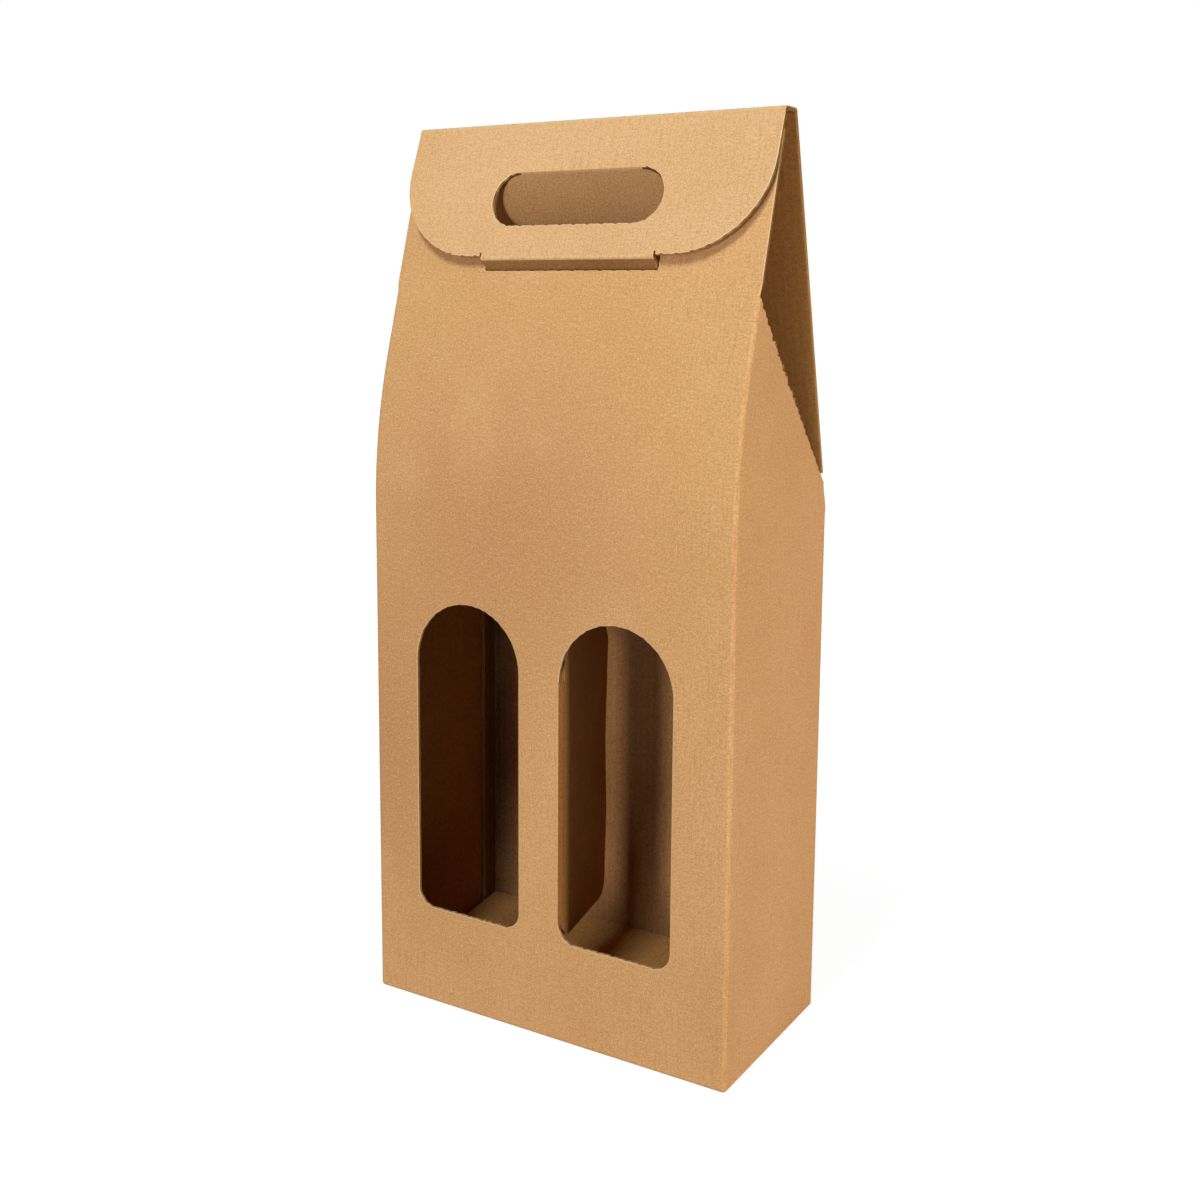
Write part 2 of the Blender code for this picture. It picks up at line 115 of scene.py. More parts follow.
class Bench:
    """The bench that pieces are made on: a few steps of modelling by hand."""

    @staticmethod
    def clear() -> None:
        """Leaves nothing selected and no mesh open."""
        if bpy.context.object and bpy.context.object.mode != "OBJECT":
            bpy.ops.object.mode_set(mode="OBJECT")
        bpy.ops.object.select_all(action="DESELECT")

    @staticmethod
    def take(piece: Piece) -> None:
        """Selects one piece alone and makes it active."""
        Bench.clear()
        piece.select_set(True)
        bpy.context.view_layer.objects.active = piece

    @staticmethod
    def all_selected() -> None:
        """Selects the whole open mesh."""
        bpy.ops.mesh.select_all(action="SELECT")

    @staticmethod
    @contextmanager
    def opened(piece: Piece) -> Iterator[None]:
        """Opens one piece's mesh with all of it selected, and closes it after the work."""
        Bench.take(piece)
        bpy.ops.object.mode_set(mode="EDIT")
        Bench.all_selected()
        yield
        bpy.ops.object.mode_set(mode="OBJECT")

    @staticmethod
    def points(piece: Piece) -> Values:
        """The piece's vertices as rows of x, y, z."""
        flat = np.zeros(len(piece.data.vertices) * 3, np.float32)
        piece.data.vertices.foreach_get("co", flat)
        return flat.reshape(-1, 3).astype(float)

    @staticmethod
    def lay(piece: Piece, places: Values) -> None:
        """Puts the piece's vertices at the given rows of x, y, z."""
        piece.data.vertices.foreach_set("co", places.astype(np.float32).ravel())
        piece.data.update()

    @staticmethod
    def outline_face(name: str, loops: Sequence[Loop]) -> Piece:
        """A flat face with holes: rings laid along the outlines and filled.

        Args:
            name: name of the new piece.
            loops: the outline first, then its holes, in millimetres.
        Returns:
            The flat piece, at depth 0.
        """
        Bench.clear()
        bpy.ops.mesh.primitive_circle_add(vertices=len(loops[0]), radius=1.0, location=(0, 0, 0))
        piece = bpy.context.object
        piece.name = name
        with Bench.opened(piece):
            for loop in loops[1:]:
                bpy.ops.mesh.select_all(action="DESELECT")
                bpy.ops.mesh.primitive_circle_add(vertices=len(loop), radius=1.0, location=(0, 0, 0))
        Bench.lay(piece, np.array([(u, v, 0.0) for loop in loops for u, v in loop]))
        with Bench.opened(piece):
            bpy.ops.mesh.fill(use_beauty=True)
        return piece

    @staticmethod
    def thicken(piece: Piece, near: float, far: float) -> None:
        """Makes a flat face a slab that reaches from depth near to depth far."""
        with Bench.opened(piece):
            bpy.ops.transform.translate(value=(0, 0, near))
            bpy.ops.mesh.extrude_region_move(TRANSFORM_OT_translate={"value": (0, 0, far - near)})
            Bench.all_selected()
            bpy.ops.mesh.normals_make_consistent(inside=False)

    @staticmethod
    def rule(piece: Piece, rows: Sequence[float], columns: Sequence[float]) -> None:
        """Scores a flat piece with edges along v rows and u columns, where it will bend."""
        cuts = [((0, row, 0), (0, 1, 0)) for row in rows]
        cuts += [((column, 0, 0), (1, 0, 0)) for column in columns]
        with Bench.opened(piece):
            for place, normal in cuts:
                Bench.all_selected()
                bpy.ops.mesh.bisect(plane_co=place, plane_no=normal)

    @staticmethod
    def cut(piece: Piece, tool: Piece, operation: str) -> None:
        """Applies a Boolean of the tool to the piece and removes the tool."""
        Bench.take(piece)
        modifier = piece.modifiers.new("cut", "BOOLEAN")
        modifier.operation = operation
        modifier.solver = "MANIFOLD"
        modifier.object = tool
        bpy.ops.object.modifier_apply(modifier=modifier.name)
        bpy.data.objects.remove(tool, do_unlink=True)

    @staticmethod
    def join(pieces: Sequence[Piece], name: str) -> Piece:
        """Joins pieces into one object of the given name."""
        Bench.take(pieces[0])
        for piece in pieces[1:]:
            piece.select_set(True)
        bpy.ops.object.join()
        joined = bpy.context.view_layer.objects.active
        joined.name = joined.data.name = name
        return joined

    @staticmethod
    def finish(piece: Piece, angle: float = 32.0) -> None:
        """Turns the faces outwards and shades what is rounder than the angle smooth."""
        with Bench.opened(piece):
            bpy.ops.mesh.normals_make_consistent(inside=False)
        bpy.ops.object.shade_smooth_by_angle(angle=math.radians(angle))
        even = piece.modifiers.new("even_shading", "WEIGHTED_NORMAL")
        even.keep_sharp = True
        even.weight = 100
        bpy.ops.object.modifier_apply(modifier=even.name)

    @staticmethod
    def note(piece: Piece, name: str, values: Values) -> None:
        """Stores a value, or a row of three, at each vertex under a name."""
        kind, key = ("FLOAT_VECTOR", "vector") if values.ndim == 2 else ("FLOAT", "value")
        row = piece.data.attributes.new(name, kind, "POINT")
        row.data.foreach_set(key, values.astype(np.float32).ravel())

    @staticmethod
    def dress(piece: Piece, blank: Values, edge: Values, wear: Values,
              finish: Finish) -> None:
        """Gives a piece its paper, and the places and wear that the paper's patterns read.

        Args:
            piece: the piece.
            blank: u, v and d of each vertex in the blank.
            edge: how close each vertex lies to a cut edge, from 0 to 1.
            wear: how far each vertex is worn by a fold, from 0 to 1; where a paper gives a corner
                colour, it lays painted shade there.
            finish: the paper.
        """
        Bench.note(piece, "blank_place", blank)
        Bench.note(piece, "cut_edge", edge)
        Bench.note(piece, "fold_wear_and_shade", wear)
        piece.data.materials.clear()
        piece.data.materials.append(finish.material())


# ---------------------------------------------------------------- outlines


def steps(low: float, high: float, count: int) -> list[float]:
    """Evenly spaced values from low to high, both included."""
    return [low + (high - low) * i / count for i in range(count + 1)]


def ease(t: Any) -> Any:
    """A smooth rise from 0 to 1 as t goes from 0 to 1."""
    return t * t * (3 - 2 * t)


class Outline:
    """Outlines in the flat blank, in millimetres, all running anticlockwise."""

    ARC_STEP = math.radians(6.0)
    TOOTH_STEP = 0.55
    TOOTH_MEAN, TOOTH_SWING = 0.6, 0.4
    TOOTH_DRIFT = (0.95, 0.13)

    @classmethod
    def arc(cls, centre: Point, radius: float, start: float, end: float) -> Loop:
        """Points of an arc between two angles in degrees, both ends included."""
        low, high = math.radians(start), math.radians(end)
        count = max(3, round(abs(high - low) / cls.ARC_STEP))
        turns = steps(low, high, count)
        return [(centre[0] + radius * math.cos(a), centre[1] + radius * math.sin(a)) for a in turns]

    @staticmethod
    def box(left: float, low: float, right: float, high: float) -> Loop:
        """A rectangle from its lower left corner."""
        return [(left, low), (right, low), (right, high), (left, high)]

    @staticmethod
    def mirrored(right: Loop) -> Loop:
        """A symmetric outline from its right half, which runs from its foot to its top."""
        return right + [(-u, v) for u, v in reversed(right)]

    @classmethod
    def obround(cls, width: float, height: float, middle: float) -> Loop:
        """Straight top and bottom with half-round ends, centred on u 0."""
        radius = height / 2
        reach = width / 2 - radius
        right = cls.arc((reach, middle), radius, -90, 90)
        return right + cls.arc((-reach, middle), radius, 90, 270)

    @classmethod
    def arched(cls, left: float, width: float, sill: float, top: float, corner: float,
               inset: float = 0.0) -> Loop:
        """Arched window whose left edge lies at the given u.

        Args:
            left: u of the window's left edge.
            width: width of the window.
            sill: v of its bottom.
            top: v of the arch's apex.
            corner: radius of the lower corners.
            inset: how far the outline is drawn in all round.
        Returns:
            The outline.
        """
        radius = width / 2
        middle = left + radius
        reach = radius - corner
        points = cls.arc((middle, top - radius), radius - inset, 0, 180)
        points += cls.arc((middle - reach, sill + corner), corner - inset, 180, 270)
        points += cls.arc((middle + reach, sill + corner), corner - inset, 270, 360)
        return points

    @staticmethod
    def dense(loop: Loop, spacing: float, across: bool = False) -> Loop:
        """Adds points to an outline.

        Args:
            loop: the outline.
            spacing: largest distance between its points.
            across: whether only the distance across the flutes counts.
        Returns:
            The same outline with more points.
        """
        points: Loop = []
        for (ua, va), (ub, vb) in zip(loop, loop[1:] + loop[:1]):
            length = abs(ub - ua) if across else math.hypot(ub - ua, vb - va)
            count = max(1, math.ceil(length / spacing))
            points += [(ua + (ub - ua) * i / count, va + (vb - va) * i / count) for i in range(count)]
        return points

    @classmethod
    def toothed(cls, loop: Loop, is_cut: Mask, bite: float, hole: bool = False) -> Loop:
        """Bites uneven teeth into an edge where the knife crossed the flutes.

        Args:
            loop: the clean outline.
            is_cut: tells which points lie on a cut edge and not on a crease.
            bite: depth of a tooth on an edge square to the flutes.
            hole: whether the board lies outside the outline.
        Returns:
            The outline with points about half a millimetre apart across the flutes.
        """
        flat = np.array(cls.dense(loop, cls.TOOTH_STEP, True))
        run = np.roll(flat, -1, axis=0) - np.roll(flat, 1, axis=0)
        run /= np.maximum(np.linalg.norm(run, axis=1), 1e-9)[:, None]
        into = np.column_stack((-run[:, 1], run[:, 0])) * (-1 if hole else 1)
        u, v = flat[:, 0], flat[:, 1]
        wave = 0.5 - 0.5 * np.cos(2 * math.pi * u / BOARD.pitch)
        drift_u, drift_v = cls.TOOTH_DRIFT
        uneven = cls.TOOTH_MEAN + cls.TOOTH_SWING * np.sin(drift_u * u + drift_v * v)
        depth = bite * np.abs(run[:, 0]) * wave * uneven * is_cut(u, v)
        return [tuple(row) for row in flat + into * depth[:, None]]


# ---------------------------------------------------------------- board


@dataclass(frozen=True)
class Corrugation:
    """Single-wall corrugated board, in millimetres.

    The pitch of its flutes is the one that shows at the cut edges in the photograph.
    """

    caliper: float = 1.6
    liner: float = 0.28
    glue_gap: float = 0.02
    medium: float = 0.20
    pitch: float = 3.4
    steps: int = 10
    lip: float = 0.35
    lip_share: float = 0.9
    rim_step: float = 0.12
    crush: float = 0.16
    bite: float = 0.34
    gusset_bite: float = 1.7
    flap_bite: float = 0.5


BOARD = Corrugation()
CALIPER = BOARD.caliper


def everywhere(u: Values, v: Values) -> Values:
    """A mask that holds at every point."""
    return np.ones_like(u)


def nowhere(u: Values, v: Values) -> Values:
    """A mask that holds at no point."""
    return np.zeros_like(u)


@dataclass
class BoardPiece:
    """One panel of the blank: laid out flat, cut, scored, and folded to its place.

    A panel without an inside finish has no inner liner, and one without bite no teeth.
    """

    name: str
    loops: list[Loop]
    fold: Fold
    is_cut: Mask = everywhere
    rows: Sequence[float] = ()
    columns: Sequence[float] = ()
    blank_at: Point = (0.0, 0.0)
    inner_loops: list[Loop] | None = None
    bite: float = BOARD.bite
    outside: Finish = Finish.OUTSIDE
    inside: Finish | None = Finish.INSIDE

    def edges(self, loops: list[Loop]) -> list[Loop]:
        """The outlines as the knife leaves them, with teeth where they cross the flutes."""
        if not self.bite:
            return loops
        return [Outline.toothed(x, self.is_cut, self.bite, k > 0) for k, x in enumerate(loops)]

    def liner(self, loops: list[Loop], near: float) -> Piece:
        """One of the two flat papers, with a narrow rim along its edges that can be crushed."""
        piece = Bench.outline_face(self.name + "_liner", loops)
        with Bench.opened(piece):
            bpy.ops.mesh.inset(thickness=BOARD.lip, depth=0.0, use_boundary=True, use_even_offset=False)
        Bench.thicken(piece, near, near + BOARD.liner)
        Bench.rule(piece, self.rows, self.columns)
        return piece

    def medium(self, loops: list[Loop]) -> Piece:
        """The fluted paper: a waved sheet cut to the panel's outline."""
        flat = np.array([point for loop in loops for point in loop])
        low, high = flat.min(0) - 1.0, flat.max(0) + 1.0
        step = BOARD.pitch / BOARD.steps
        across = int(math.ceil((high[0] - low[0]) / step))
        levels = sorted({low[1], high[1], *[r for r in self.rows if low[1] < r < high[1]]})
        along = len(levels) - 1
        Bench.clear()
        bpy.ops.mesh.primitive_grid_add(x_subdivisions=across, y_subdivisions=along, size=1.0)
        sheet = bpy.context.object
        places = Bench.points(sheet)
        column = np.rint((places[:, 0] + 0.5) * across)
        row = np.rint((places[:, 1] + 0.5) * along).astype(int)
        u = math.floor(low[0] / step) * step + column * step
        swing = (CALIPER - 2 * (BOARD.liner + BOARD.glue_gap) - BOARD.medium) / 2
        d = CALIPER / 2 + swing * np.cos(2 * math.pi * u / BOARD.pitch)
        Bench.lay(sheet, np.column_stack((u, np.array(levels)[row], d)))
        Bench.take(sheet)
        wall = sheet.modifiers.new("paper", "SOLIDIFY")
        wall.thickness = BOARD.medium
        wall.offset = 0.0
        bpy.ops.object.modifier_apply(modifier=wall.name)
        tool = Bench.outline_face(self.name + "_knife", loops)
        Bench.thicken(tool, -1.0, CALIPER + 1.0)
        Bench.cut(sheet, tool, "INTERSECT")
        return sheet

    def papers(self) -> list[tuple[Piece, list[Loop], Finish]]:
        """The board's flat papers, each with the outlines it is cut to and its finish."""
        outer = self.edges(self.loops)
        made = [(self.liner(outer, 0.0), outer, self.outside),
                (self.medium(outer), outer, Finish.MEDIUM)]
        if self.inside:
            inner = self.edges(self.inner_loops) if self.inner_loops else outer
            made.append((self.liner(inner, CALIPER - BOARD.liner), inner, self.inside))
        return made

    def edge_weight(self, places: Values, loops: list[Loop]) -> Values:
        """How close each vertex lies to a cut edge: 1 on it, 0 a lip's width away."""
        rim = [point for loop in loops for point in Outline.dense(loop, BOARD.rim_step)]
        tree = KDTree(len(rim))
        for i, (u, v) in enumerate(rim):
            tree.insert((u, v, 0.0), i)
        tree.balance()
        far = np.array([tree.find((u, v, 0.0))[2] for u, v, _ in places])
        near = np.clip(1.0 - far / (BOARD.lip * BOARD.lip_share), 0.0, 1.0)
        return near * self.is_cut(places[:, 0], places[:, 1])

    def build(self) -> Piece:
        """Makes the panel, at the origin, and folds it to its place.

        Returns:
            The finished piece, with its place in its mesh.
        """
        made = self.papers()
        middle = CALIPER / 2
        for paper, loops, finish in made:
            places = Bench.points(paper)
            edge = self.edge_weight(places, loops)
            u, v = places[:, 0], places[:, 1]
            d = middle + (places[:, 2] - middle) * (1.0 - BOARD.crush * edge)
            folded, wear = self.fold(u, v, d)
            blank = np.column_stack((u + self.blank_at[0], v + self.blank_at[1], d))
            Bench.dress(paper, blank, edge, wear, finish)
            Bench.lay(paper, folded * MM)
        piece = Bench.join([paper for paper, _, _ in made], self.name)
        Bench.finish(piece)
        return piece

    def settle(self, body: str, node: str, slot: str) -> None:
        """Builds the panel, which rides on its body and stands for its node."""
        settle(self.build(), body, node)


# ---------------------------------------------------------------- folds


@dataclass(frozen=True)
class CartonShape:
    """Sizes of the closed carton, in millimetres, and the ways its panels are folded."""

    half_width: float = 90.0
    half_depth: float = 45.0
    shoulder: float = 228.0
    ridge_top: float = 396.0
    ridge_front: float = 6.8
    ridge_rear: float = 1.3
    bend_rise: float = 34.6
    bow_radius: float = 250.0
    front_top_drop: float = 9.0
    flap_spread: float = 3.3
    flap_length: float = 60.2
    tab_lean: float = 45.0
    handle_drop: float = 22.1
    tongue_fold: float = 37.0
    divider_fold: float = 101.5
    tip_drop: float = 75.0
    tip_land: float = 1.2
    gusset_rear_rise: float = 14.5
    gusset_bow: float = 0.8
    gusset_bow_power: float = 1.5
    slope_relief_rise: float = 18.2
    fold_radius: float = 2.0
    crease: float = 0.2
    gap: float = 0.3
    wrap_run: float = 7.0
    seam_opening: float = 3.0
    bow_fullest: Pair = (0.6, 0.4)
    blank_back: float = 300.0
    flap_gap: float = 0.1

    @property
    def ridge_under(self) -> float:
        """Height of the ridge's underside."""
        return self.ridge_top - CALIPER

    @property
    def lean(self) -> float:
        """Lean of the front's straight upper part, in radians."""
        reach = self.half_depth - self.ridge_front + self.flap_gap
        return math.atan2(reach, self.ridge_under - self.shoulder - self.bend_rise)

    @property
    def bow_start(self) -> float:
        """Where the front starts to bow, which is a height and a v."""
        return self.shoulder + self.bend_rise - self.bow_radius * math.tan(self.lean / 2)

    @property
    def bow_end(self) -> float:
        """Where the bow passes into the straight lean, as v."""
        return self.bow_start + self.bow_radius * self.lean

    @property
    def bow_end_place(self) -> Point:
        """The same place as y and z."""
        lean, radius = self.lean, self.bow_radius
        y = -self.half_depth + radius * (1 - math.cos(lean))
        return y, self.bow_start + radius * math.sin(lean)

    @property
    def back_lean(self) -> float:
        """Lean of the back slope, in radians."""
        run = self.half_depth - CALIPER - self.ridge_rear
        return math.atan2(run, self.ridge_under - self.shoulder)

    @property
    def slope_length(self) -> float:
        """Length of the back slope, from the shoulder to the ridge."""
        return (self.ridge_under - self.shoulder) / math.cos(self.back_lean)

    @property
    def tip(self) -> float:
        """V of the gusset's tip on the front crease."""
        return self.front_v(self.ridge_top - self.tip_drop)

    @property
    def corner_start(self) -> float:
        """How far from the middle the front's corner folds start."""
        return self.half_width - self.fold_radius

    @property
    def roll_middle(self) -> float:
        """Radius of the middle of the board round a corner fold."""
        return self.fold_radius - CALIPER / 2

    @property
    def corner_run(self) -> float:
        """Length of flat board in one panel's half of a corner fold."""
        return self.roll_middle * math.pi / 4

    @property
    def foot(self) -> float:
        """V of a wall's foot, where its fold ends."""
        return CALIPER * (1 - math.pi / 4)

    def front_v(self, height: float) -> float:
        """V of a height on the front's outer face, above the bow."""
        return self.bow_end + (height - self.bow_end_place[1]) / math.cos(self.lean)

    def section(self, v: Values) -> tuple[Values, Values]:
        """The front's outer face in the side view.

        Args:
            v: distances along the face from its foot.
        Returns:
            Rows of y and z, and rows of the inward normal.
        """
        turn = np.clip((v - self.bow_start) / self.bow_radius, 0.0, self.lean)
        past = np.maximum(v - self.bow_end, 0.0)
        y = -self.half_depth + self.bow_radius * (1 - np.cos(turn)) + past * math.sin(self.lean)
        rise = self.bow_radius * np.sin(turn) + past * math.cos(self.lean)
        z = np.minimum(v, self.bow_start) + rise
        return np.column_stack((y, z)), np.column_stack((np.cos(turn), -np.sin(turn)))

    def to_side(self, y: float, z: float) -> Point:
        """Finds a place of the side view in the side panel's blank, as q and v."""
        centre = (-self.half_depth + self.bow_radius, self.bow_start)
        turn = math.atan2(z - centre[1], centre[0] - y)
        if turn <= 0:
            return y + self.half_depth, z
        if turn < self.lean:
            far = math.hypot(z - centre[1], y - centre[0])
            return self.bow_radius - far, self.bow_start + self.bow_radius * turn
        end_y, end_z = self.bow_end_place
        sine, cosine = math.sin(self.lean), math.cos(self.lean)
        along = (y - end_y) * sine + (z - end_z) * cosine
        return (y - end_y) * cosine - (z - end_z) * sine, self.bow_end + along

    def corner(self, over: Values, d: Values, share: Values | float = 1.0
               ) -> Rolled:
        """Rolls board round a corner fold.

        Args:
            over: how far each point lies past the start of the fold.
            d: its depth in the board.
            share: how much of the fold is made, from 0 to 1.
        Returns:
            How far the point now reaches past the start, its depth, and its turn in radians.
        """
        share = np.maximum(share, 1e-3)
        middle = self.roll_middle / share
        turn = np.maximum(over, 0.0) / middle
        radius = middle + CALIPER / 2 - d
        reach = radius * np.sin(turn)
        depth = middle + CALIPER / 2 - radius * np.cos(turn)
        return np.where(over > 0, reach, over), np.where(over > 0, depth, d), turn

    @staticmethod
    def fold_wear_and_shade(turn: Values) -> Values:
        """Wear across half a corner fold, nearly all of it on the very corner, where the outside paper
        shows painted shade.
        """
        return np.clip(turn / (math.pi / 4), 0.0, 1.0) ** 4

    def foot_roll(self, v: Values, d: Values) -> Rolled:
        """Turns a wall's foot in under the carton.

        Args:
            v: distances up the wall.
            d: depths in the board.
        Returns:
            The new v, the new depth, and the turn in radians.
        """
        middle = CALIPER / 2
        turn = np.clip((CALIPER - v) / middle, 0.0, QUARTER)
        radius = CALIPER - d
        bent = turn > 0
        rise = np.where(bent, CALIPER - radius * np.sin(turn), v)
        depth = np.where(bent, CALIPER - radius * np.cos(turn), d)
        return rise, depth, turn

    def wrap(self, v: Values) -> Values:
        """How much of the front's corner folds is made: all up to the tip, none above it."""
        return 1.0 - ease(np.clip((v - self.tip) / self.wrap_run, 0.0, 1.0))

    def front(self, u: Values, v: Values, d: Values) -> Folded:
        """Folds the front: upright, bowed, then leaning, with rounded corners and foot."""
        start = self.corner_start
        reach, depth, turn = self.corner(np.abs(u) - start, d, self.wrap(v))
        x = np.sign(u) * (start + reach)
        rise, depth, under = self.foot_roll(v, depth)
        place, normal = self.section(rise)
        spot = place + normal * depth[:, None]
        wear = np.maximum(self.fold_wear_and_shade(turn) * self.wrap(v), under / QUARTER)
        return np.column_stack((x, spot[:, 0], spot[:, 1])), np.clip(wear, 0, 1)

    def bow(self, y: Values, z: Values, front_y: Values) -> Values:
        """How far a gusset bows inwards, nothing along its creases and most at its free edge."""
        rear = self.shoulder + self.gusset_rear_rise
        span = self.rear_y(rear) + self.half_depth
        across = np.maximum(0.0, (y - front_y) / span)
        base = self.shoulder + (rear - self.shoulder) * (y + self.half_depth) / span
        full = self.ridge_top - self.tip_drop - self.shoulder
        rise = np.maximum(0.0, (z - base) / full)
        power = self.gusset_bow_power
        full_rise, full_across = self.bow_fullest
        return self.gusset_bow * rise ** power * across / (full_rise ** power * full_across)

    def rear_y(self, height: float) -> float:
        """Y of the side panel's edge beside the back slope, level with the slope's outer face."""
        inner = self.half_depth - CALIPER - (height - self.shoulder) * math.tan(self.back_lean)
        return min(self.half_depth, inner + CALIPER / math.cos(self.back_lean)) - self.crease

    def side(self, side: Side) -> Fold:
        """The fold of a side panel, whose q runs back from the front crease."""

        def fold(q: Values, v: Values, d: Values) -> Folded:
            """Folds the panel along the front's profile and bows its gusset in."""
            reach, depth, turn = self.corner(self.fold_radius - q, d)
            near = self.fold_radius - reach
            if side is Side.RIGHT:
                start = 2 * self.half_depth - self.fold_radius
                open_again = np.clip((v - self.shoulder) / self.seam_opening, 0.0, 1.0)
                rear, rear_depth, rear_turn = self.corner(q - start, d, 1.0 - open_again)
                near = np.where(q > start, start + rear, near)
                depth = np.where(q > start, rear_depth, depth)
                turn = np.maximum(turn, rear_turn)
            rise, depth, under = self.foot_roll(v, depth)
            place, normal = self.section(rise)
            spot = place + normal * near[:, None]
            bow = self.bow(spot[:, 0], spot[:, 1], place[:, 0])
            x = side.value * (self.half_width - depth - bow)
            wear = np.maximum(self.fold_wear_and_shade(turn), under / QUARTER)
            return np.column_stack((x, spot[:, 0], spot[:, 1])), np.clip(wear, 0, 1)

        return fold

    def back(self, u: Values, v: Values, d: Values) -> Folded:
        """Folds the back: flat, its right end into a corner, its left end into the glued seam."""
        start = self.corner_start
        reach, depth, turn = self.corner(u - start, d)
        x = start + reach
        seam = self.half_width - 2 * CALIPER - self.gap
        middle = CALIPER / 2
        past = -seam - u
        bend = np.clip(past / middle, 0.0, QUARTER)
        radius = CALIPER - d
        x = np.where(past > 0, -seam - radius * np.sin(bend), np.where(u > start, x, u))
        depth = np.where(past > 0, CALIPER - radius * np.cos(bend), depth)
        rise, depth, under = self.foot_roll(v, depth)
        wear = np.maximum.reduce([self.fold_wear_and_shade(turn), bend / QUARTER, under / QUARTER])
        return np.column_stack((x, self.half_depth - depth, rise)), np.clip(wear, 0, 1)


@dataclass(frozen=True)
class FlatBoard:
    """A flat board: where its blank's origin lies, and the ways that u, v and d lead."""

    origin: Place
    u_way: Place = X
    v_way: Place = Y
    d_way: Place = Z

    def fold(self, u: Values, v: Values, d: Values) -> Folded:
        """Lays the board at its place."""
        places = np.array(self.origin) + np.outer(u, self.u_way) + np.outer(v, self.v_way)
        return places + np.outer(d, self.d_way), np.zeros_like(u)


@dataclass(frozen=True)
class HingedBoard:
    """A flat board that hangs on a crease along X; its angle gives its outward normal."""

    y: float
    z: float
    angle: float
    curl: Pair = (0.0, 0.0)
    curl_from: float = 45.0
    curl_to: float = 90.0
    length: float = 60.0

    def along(self) -> Values:
        """Direction from the crease to the free edge."""
        turn = math.radians(self.angle)
        return np.array((0.0, -math.sin(turn), math.cos(turn)))

    def outward(self) -> Values:
        """Direction out of the outer face."""
        turn = math.radians(self.angle)
        return np.array((0.0, math.cos(turn), math.sin(turn)))

    def hang(self, drop: float, angle: float) -> "HingedBoard":
        """A board that hangs on this one, on a crease at the given distance from its own."""
        _, y, z = self.along() * drop
        return HingedBoard(self.y + y, self.z + z, angle)

    def fold(self, u: Values, v: Values, d: Values) -> Folded:
        """Lays the flat board at its place, its free corners curled out a little."""
        left, right = self.curl
        bulge = np.where(u < 0, left, right)
        over = np.clip((np.abs(u) - self.curl_from) / (self.curl_to - self.curl_from), 0.0, 1.0)
        lift = bulge * over ** 2 * np.clip(v / self.length, 0.0, 1.0) ** 1.5
        out = CALIPER - d + lift
        crease = np.array((0.0, self.y, self.z))
        places = crease + v[:, None] * self.along() + out[:, None] * self.outward()
        places[:, 0] = u
        return places, np.zeros_like(u)


@dataclass(frozen=True)
class Roll:
    """The bent strip of board round an open crease, between two boards' outer faces."""

    centre: Point
    start: float
    end: float
    upright: bool = False
    ends: Pair = (0.2, 0.2)
    crushed: float = 0.0
    bend_step: float = 7.0

    @property
    def run(self) -> float:
        """Length of the bent part of the strip's outer face."""
        return abs(math.radians(self.end - self.start)) * CALIPER

    def tips(self) -> list[tuple[float, ...]]:
        """The two ends of the bend on the outer face, in metres."""
        still = np.zeros(2)
        places = self.fold(still, np.array((0.0, self.run)), still)[0] * MM
        return [tuple(float(c) for c in place) for place in places]

    def fold(self, u: Values, v: Values, d: Values) -> Folded:
        """Bends the strip round its crease."""
        share = v / self.run
        turn = np.radians(self.start + (self.end - self.start) * np.clip(share, 0.0, 1.0))
        half = math.radians(abs(self.end - self.start)) / 2
        middle = math.radians((self.start + self.end) / 2)
        chord = math.cos(half) / np.cos(turn - middle)
        radius = (CALIPER - d) * (1.0 + (chord - 1.0) * self.crushed)
        past = np.where(v < 0, v, np.maximum(v - self.run, 0.0))
        past = past * math.copysign(1.0, self.end - self.start)
        a = self.centre[0] + radius * np.cos(turn) - past * np.sin(turn)
        b = self.centre[1] + radius * np.sin(turn) + past * np.cos(turn)
        wear = np.sin(np.clip(share, 0.0, 1.0) * math.pi) * 0.8 + 0.2
        if self.upright:
            return np.column_stack((a, b, u)), wear
        return np.column_stack((u, a, b)), wear

    def build(self, name: str, bodies: tuple[str, str], reach: Pair, blank_at: Point,
              slot: str, finish: Finish) -> None:
        """Makes the strip, bent round its crease.

        Args:
            name: name of the piece.
            bodies: the bodies at its start and at its end.
            reach: the two places along the crease between which it lies.
            blank_at: where it lies in the blank.
            slot: not used.
            finish: the paper on its outer face.
        """
        outline = Outline.box(reach[0], -self.ends[0], reach[1], self.run + self.ends[1])
        rows = steps(0.0, self.run, max(2, round(abs(self.end - self.start) / self.bend_step)))
        piece = BoardPiece(name, [outline], self.fold, nowhere, rows, (), blank_at, bite=0.0,
                           outside=finish, inside=None).build()
        first, last = self.tips()
        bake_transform(piece)
        log.info("%s bends between %s and %s", name, *bodies)


# ---------------------------------------------------------------- papers


def linear(code: str) -> tuple[float, float, float, float]:
    """Turns an sRGB hex colour into linear values with full alpha."""
    parts = [int(code[i:i + 2], 16) / 255 for i in (1, 3, 5)]
    made = [c / 12.92 if c <= 0.04045 else ((c + 0.055) / 1.055) ** 2.4 for c in parts]
    return made[0], made[1], made[2], 1.0


def add_node(tree: Tree, kind: str, settings: dict[str, Any] | None = None,
             inputs: dict[Any, Any] | None = None) -> bpy.types.Node:
    """Adds a node, sets its properties, and sets or links its inputs.

    Args:
        tree: the node tree.
        kind: the node's type, without its ShaderNode prefix.
        settings: property names and values.
        inputs: input names or numbers, with a value or with the socket to link.
    Returns:
        The new node.
    """
    node = tree.nodes.new("ShaderNode" + kind)
    for key, value in (settings or {}).items():
        setattr(node, key, value)
    for key, value in (inputs or {}).items():
        if isinstance(value, Socket):
            tree.links.new(value, node.inputs[key])
        else:
            node.inputs[key].default_value = value
    return node


